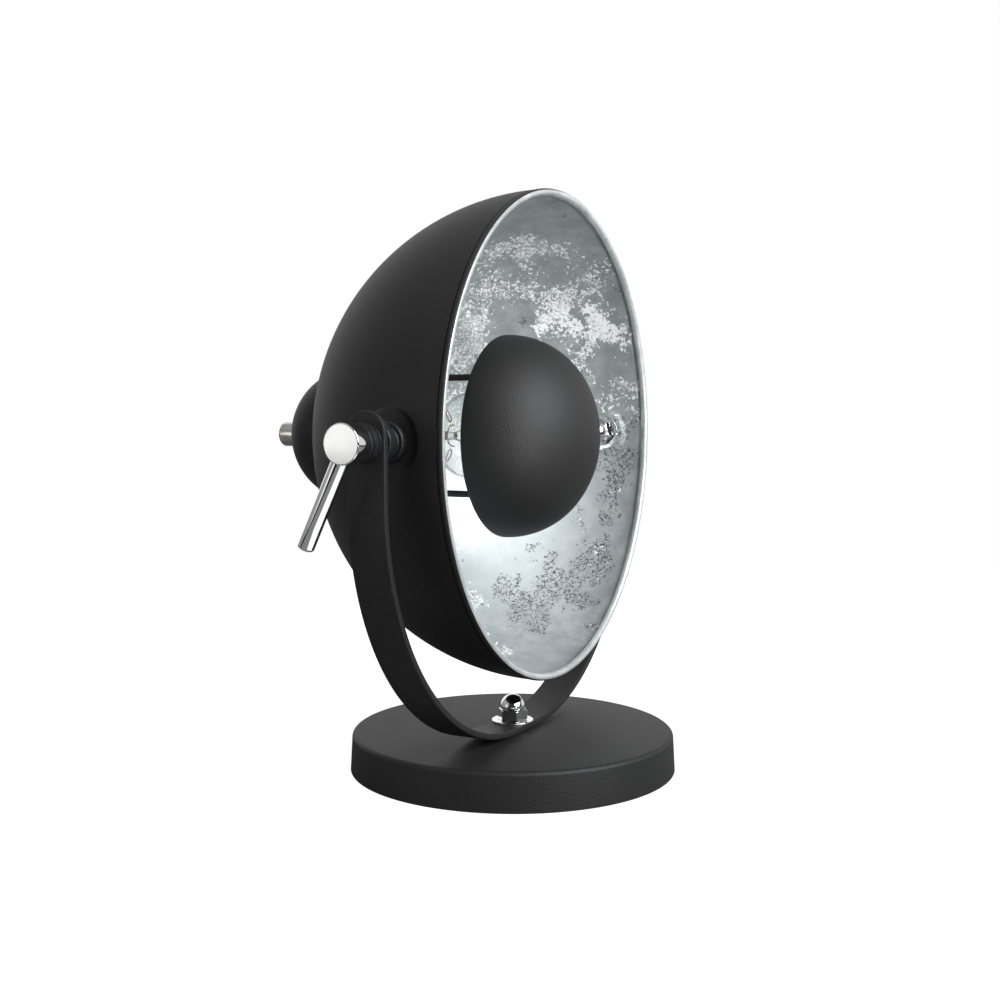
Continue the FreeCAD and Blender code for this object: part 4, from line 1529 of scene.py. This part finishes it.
def finish_frame_nodes():
    """Give each node that still shows its own finish."""
    for node, finish in FRAME_FINISHES.items():
        piece = frame["nodes"][node]
        if not piece.material_slots:
            piece.data.materials.append(None)
        for entry in piece.material_slots:
            entry.link = "OBJECT"
            entry.material = FINISHES[finish]


# ---------------------------------------------------------------- stage
def aimed(place, target):
    """Matrix of a lamp or a camera at a place that looks at a target."""
    way = Vector(target) - Vector(place)
    return Matrix.Translation(place) @ way.to_track_quat("-Z", "Y").to_matrix().to_4x4()


def build_camera():
    """Camera at three-quarter left, slightly above the base."""
    data = bpy.data.cameras.new("camera")
    data.lens = CAMERA_LENS
    data.sensor_fit = "HORIZONTAL"
    data.sensor_width = CAMERA_SENSOR
    data.clip_start = 0.01
    data.clip_end = 50
    view = bpy.data.objects.new("camera", data)
    roll = Matrix.Rotation(math.radians(CAMERA_ROLL), 4, "Z")
    view.matrix_world = aimed(CAMERA_PLACE, CAMERA_TARGET) @ roll
    bpy.context.scene.collection.objects.link(view)
    bpy.context.scene.camera = view


def add_light(name, kind, place, target, power):
    """Lamp that looks at a point."""
    data = bpy.data.lights.new(name, kind)
    data.energy = power
    lamp = bpy.data.objects.new(name, data)
    lamp.matrix_world = aimed(place, target)
    bpy.context.scene.collection.objects.link(lamp)
    return lamp


def area_light(name, place, target, size, power, colour=(1, 1, 1)):
    """Soft square light that looks at a point."""
    lamp = add_light(name, "AREA", place, target, power)
    lamp.data.shape = "RECTANGLE"
    lamp.data.size, lamp.data.size_y = size
    lamp.data.color = colour
    lamp.visible_camera = False
    return lamp


def light_bright_pieces(lamp, only):
    """Let a light reach only the chromed pieces, or everything but them."""
    group = bpy.data.collections.new(lamp.name + " pieces")
    for piece in bpy.context.scene.objects:
        if piece.type == "MESH" and piece.data.materials[:1] == [FINISHES["chrome"]]:
            group.objects.link(piece)
    lamp.light_linking.receiver_collection = group
    for entry in group.collection_objects:
        entry.light_linking.link_state = "INCLUDE" if only else "EXCLUDE"


# Bright parts of the studio: direction, where its edge starts and ends, and how bright it is.
STUDIO_PANELS = (
    ((0.72, 0.62, 0.22), 0.62, 0.92, 1.0),
    ((-0.55, 0.72, 0.42), 0.55, 0.98, 0.30),
    ((0.83, -0.50, 0.15), 0.80, 0.97, 0.70),
    ((0.0, 0.0, 1.0), 0.55, 1.0, 0.30),
)
STUDIO_DARK = 0.04
WHITE = (1, 1, 1, 1)


def seen_as(tree, output, plain, seen):
    """Put one shader on an output for the camera and another for everything else."""
    path = add_node(tree, "ShaderNodeLightPath")
    choice = {0: Flow(path, "Is Camera Ray"), 1: Flow(plain), 2: Flow(seen)}
    feed(output, {"Surface": Flow(add_node(tree, "ShaderNodeMixShader", choice))})


def build_world():
    """White studio: plain white behind, softer and darker sides for the light and reflections."""
    world = bpy.data.worlds.new("studio")
    world.use_nodes = True
    bpy.context.scene.world = world
    tree = world.node_tree
    tree.nodes.clear()
    direction = Flow(add_node(tree, "ShaderNodeTexCoord"), "Generated")
    value = STUDIO_DARK
    for toward, low, high, gain in STUDIO_PANELS:
        facing = direction.vector("DOT_PRODUCT", Vector(toward).normalized(), output="Value")
        value = facing.ramp(low, high, 0.0, gain) + value
    upright = Flow(add_node(tree, "ShaderNodeSeparateXYZ", {0: direction}), "Z")
    value *= upright.ramp(-0.10, -0.03, 0.1, 1.0)
    studio = add_node(tree, "ShaderNodeBackground", {"Color": WHITE, "Strength": value})
    white = add_node(tree, "ShaderNodeBackground", {"Color": WHITE, "Strength": 1.0})
    seen_as(tree, add_node(tree, "ShaderNodeOutputWorld"), studio, white)


def floor_material():
    """Pale floor, plain white where the camera sees it."""
    material = bpy.data.materials.new("Pale floor")
    material.use_nodes = True
    tree = material.node_tree
    tree.nodes.clear()
    pale = add_node(tree, "ShaderNodeBsdfDiffuse", {"Color": (0.20, 0.20, 0.20, 1)})
    glow = add_node(tree, "ShaderNodeEmission", {"Color": WHITE, "Strength": 0.98})
    both = add_node(tree, "ShaderNodeAddShader", {0: Flow(pale), 1: Flow(glow)})
    seen_as(tree, add_node(tree, "ShaderNodeOutputMaterial"), pale, both)
    return material


def build_floor(half):
    """Square floor under the lamp."""
    mesh = bpy.data.meshes.new("floor")
    corners = [(-half, -half, 0), (half, -half, 0), (half, half, 0), (-half, half, 0)]
    mesh.from_pydata(corners, [], [(0, 1, 2, 3)])
    mesh.materials.append(floor_material())
    floor = bpy.data.objects.new("floor", mesh)
    bpy.context.scene.collection.objects.link(floor)


def build_stage(chosen):
    """Floor, studio, lights and camera."""
    bpy.context.scene.view_settings.view_transform = "Standard"
    if chosen.show_floor:
        build_floor(chosen.floor_half)
    build_world()
    sun = add_light("sun", "SUN", (0, 0, 0), (0.22, 0.80, -0.56), chosen.sun_strength)
    sun.data.angle = math.radians(55)
    cool = (0.86, 0.93, 1.0)
    warm = (1.0, 0.99, 0.97)
    area_light("front softbox", (-0.05, -1.25, 0.88), (0, 0, 0.16), (0.7, 0.7), 12.0, cool)
    inner = area_light("inner card", (-0.50, -0.90, 0.02), (0.075, 0.0, 0.210), (0.20, 0.20), 0.17)
    inner.data.spread = math.radians(21)
    side = area_light("side card", (-0.95, 0.64, 0.20), (-0.15, 0, 0.16), (0.50, 0.40), 0.8, warm)
    light_bright_pieces(side, only=False)
    lever = area_light("lever card", (-0.98, 0.57, 0.228), (-0.155, 0, 0.163), (0.30, 0.42), 0.30)
    light_bright_pieces(lever, only=True)
    low = area_light("low card", (-0.16, -0.125, 0.003), (-0.16, -0.125, 0.3), (0.28, 0.12), 0.10)
    light_bright_pieces(low, only=True)
    build_camera()


# ---------------------------------------------------------------- operators
class LAMP_OT_finishes(bpy.types.Operator):
    """Make all finishes and give the frame's own nodes theirs"""

    bl_idname = "lamp.finishes"
    bl_label = "Finishes"

    def execute(self, context):
        make_finishes(context.scene.lamp_finishes)
        finish_frame_nodes()
        return {"FINISHED"}


class LAMP_OT_base(bpy.types.Operator):
    """Build the base cover"""

    bl_idname = "lamp.base"
    bl_label = "Base"

    def execute(self, context):
        build_base(context.scene.lamp_base)
        return {"FINISHED"}


class LAMP_OT_yoke(bpy.types.Operator):
    """Build the bent strap of the yoke"""

    bl_idname = "lamp.yoke"
    bl_label = "Yoke"

    def execute(self, context):
        build_yoke(context.scene.lamp_base)
        return {"FINISHED"}


class LAMP_OT_shade(bpy.types.Operator):
    """Build the shade with its silver inside"""

    bl_idname = "lamp.shade"
    bl_label = "Shade"

    def execute(self, context):
        build_shade(context.scene.lamp_shade)
        return {"FINISHED"}


class LAMP_OT_small_dome(bpy.types.Operator):
    """Build the small dome and its rods"""

    bl_idname = "lamp.small_dome"
    bl_label = "Small dome and rods"

    def execute(self, context):
        build_small_dome(context.scene.lamp_shade)
        return {"FINISHED"}


class LAMP_OT_rear_cap(bpy.types.Operator):
    """Build the rear cap and the cord gland"""

    bl_idname = "lamp.rear_cap"
    bl_label = "Rear cap and gland"

    def execute(self, context):
        build_rear_cap(context.scene.lamp_shade)
        return {"FINISHED"}


class LAMP_OT_pivots(bpy.types.Operator):
    """Build hubs, washers, bushes and nuts of the two pivots"""

    bl_idname = "lamp.pivots"
    bl_label = "Pivots"

    def execute(self, context):
        build_pivots()
        return {"FINISHED"}


class LAMP_OT_levers(bpy.types.Operator):
    """Build the two clamp levers"""

    bl_idname = "lamp.levers"
    bl_label = "Levers"

    def execute(self, context):
        build_levers()
        return {"FINISHED"}


class LAMP_OT_fasteners(bpy.types.Operator):
    """Build the base nut and washer, the rod nuts and the holder screws"""

    bl_idname = "lamp.fasteners"
    bl_label = "Fasteners"

    def execute(self, context):
        build_fasteners()
        return {"FINISHED"}


class LAMP_OT_holder(bpy.types.Operator):
    """Build the lamp holder and its thread"""

    bl_idname = "lamp.holder"
    bl_label = "Lamp holder"

    def execute(self, context):
        build_holder()
        return {"FINISHED"}


class LAMP_OT_bulb(bpy.types.Operator):
    """Build the bulb"""

    bl_idname = "lamp.bulb"
    bl_label = "Bulb"

    def execute(self, context):
        build_bulb(context.scene.lamp_bulb)
        return {"FINISHED"}


class LAMP_OT_stage(bpy.types.Operator):
    """Set the floor, the studio, the lights and the camera"""

    bl_idname = "lamp.stage"
    bl_label = "Stage"

    def execute(self, context):
        build_stage(context.scene.lamp_stage)
        return {"FINISHED"}


BUILD_ORDER = (
    LAMP_OT_finishes,
    LAMP_OT_base,
    LAMP_OT_yoke,
    LAMP_OT_shade,
    LAMP_OT_small_dome,
    LAMP_OT_rear_cap,
    LAMP_OT_pivots,
    LAMP_OT_levers,
    LAMP_OT_fasteners,
    LAMP_OT_holder,
    LAMP_OT_bulb,
    LAMP_OT_stage,
)
SETTINGS = {
    "lamp_base": LampBaseSizes,
    "lamp_shade": LampShadeSizes,
    "lamp_bulb": LampBulbSizes,
    "lamp_finishes": LampFinishes,
    "lamp_stage": LampStage,
}


class LAMP_PT_pieces(bpy.types.Panel):
    """Buttons for every piece of the lamp"""

    bl_idname = "LAMP_PT_pieces"
    bl_label = "Searchlight lamp"
    bl_space_type = "VIEW_3D"
    bl_region_type = "UI"
    bl_category = "Lamp"

    def draw(self, context):
        for operator in BUILD_ORDER:
            self.layout.operator(operator.bl_idname)


def register():
    for name, group in SETTINGS.items():
        bpy.utils.register_class(group)
        setattr(bpy.types.Scene, name, PointerProperty(type=group))
    for operator in BUILD_ORDER:
        bpy.utils.register_class(operator)
    bpy.utils.register_class(LAMP_PT_pieces)


def unregister():
    bpy.utils.unregister_class(LAMP_PT_pieces)
    for operator in reversed(BUILD_ORDER):
        bpy.utils.unregister_class(operator)
    for name, group in SETTINGS.items():
        delattr(bpy.types.Scene, name)
        bpy.utils.unregister_class(group)


def main():
    """Build everything in order."""
    register()
    bpy.ops.lamp.finishes()
    bpy.ops.lamp.base()
    bpy.ops.lamp.yoke()
    bpy.ops.lamp.shade()
    bpy.ops.lamp.small_dome()
    bpy.ops.lamp.rear_cap()
    bpy.ops.lamp.pivots()
    bpy.ops.lamp.levers()
    bpy.ops.lamp.fasteners()
    bpy.ops.lamp.holder()
    bpy.ops.lamp.bulb()
    bpy.ops.lamp.stage()


if __name__ == "__main__":
    main()
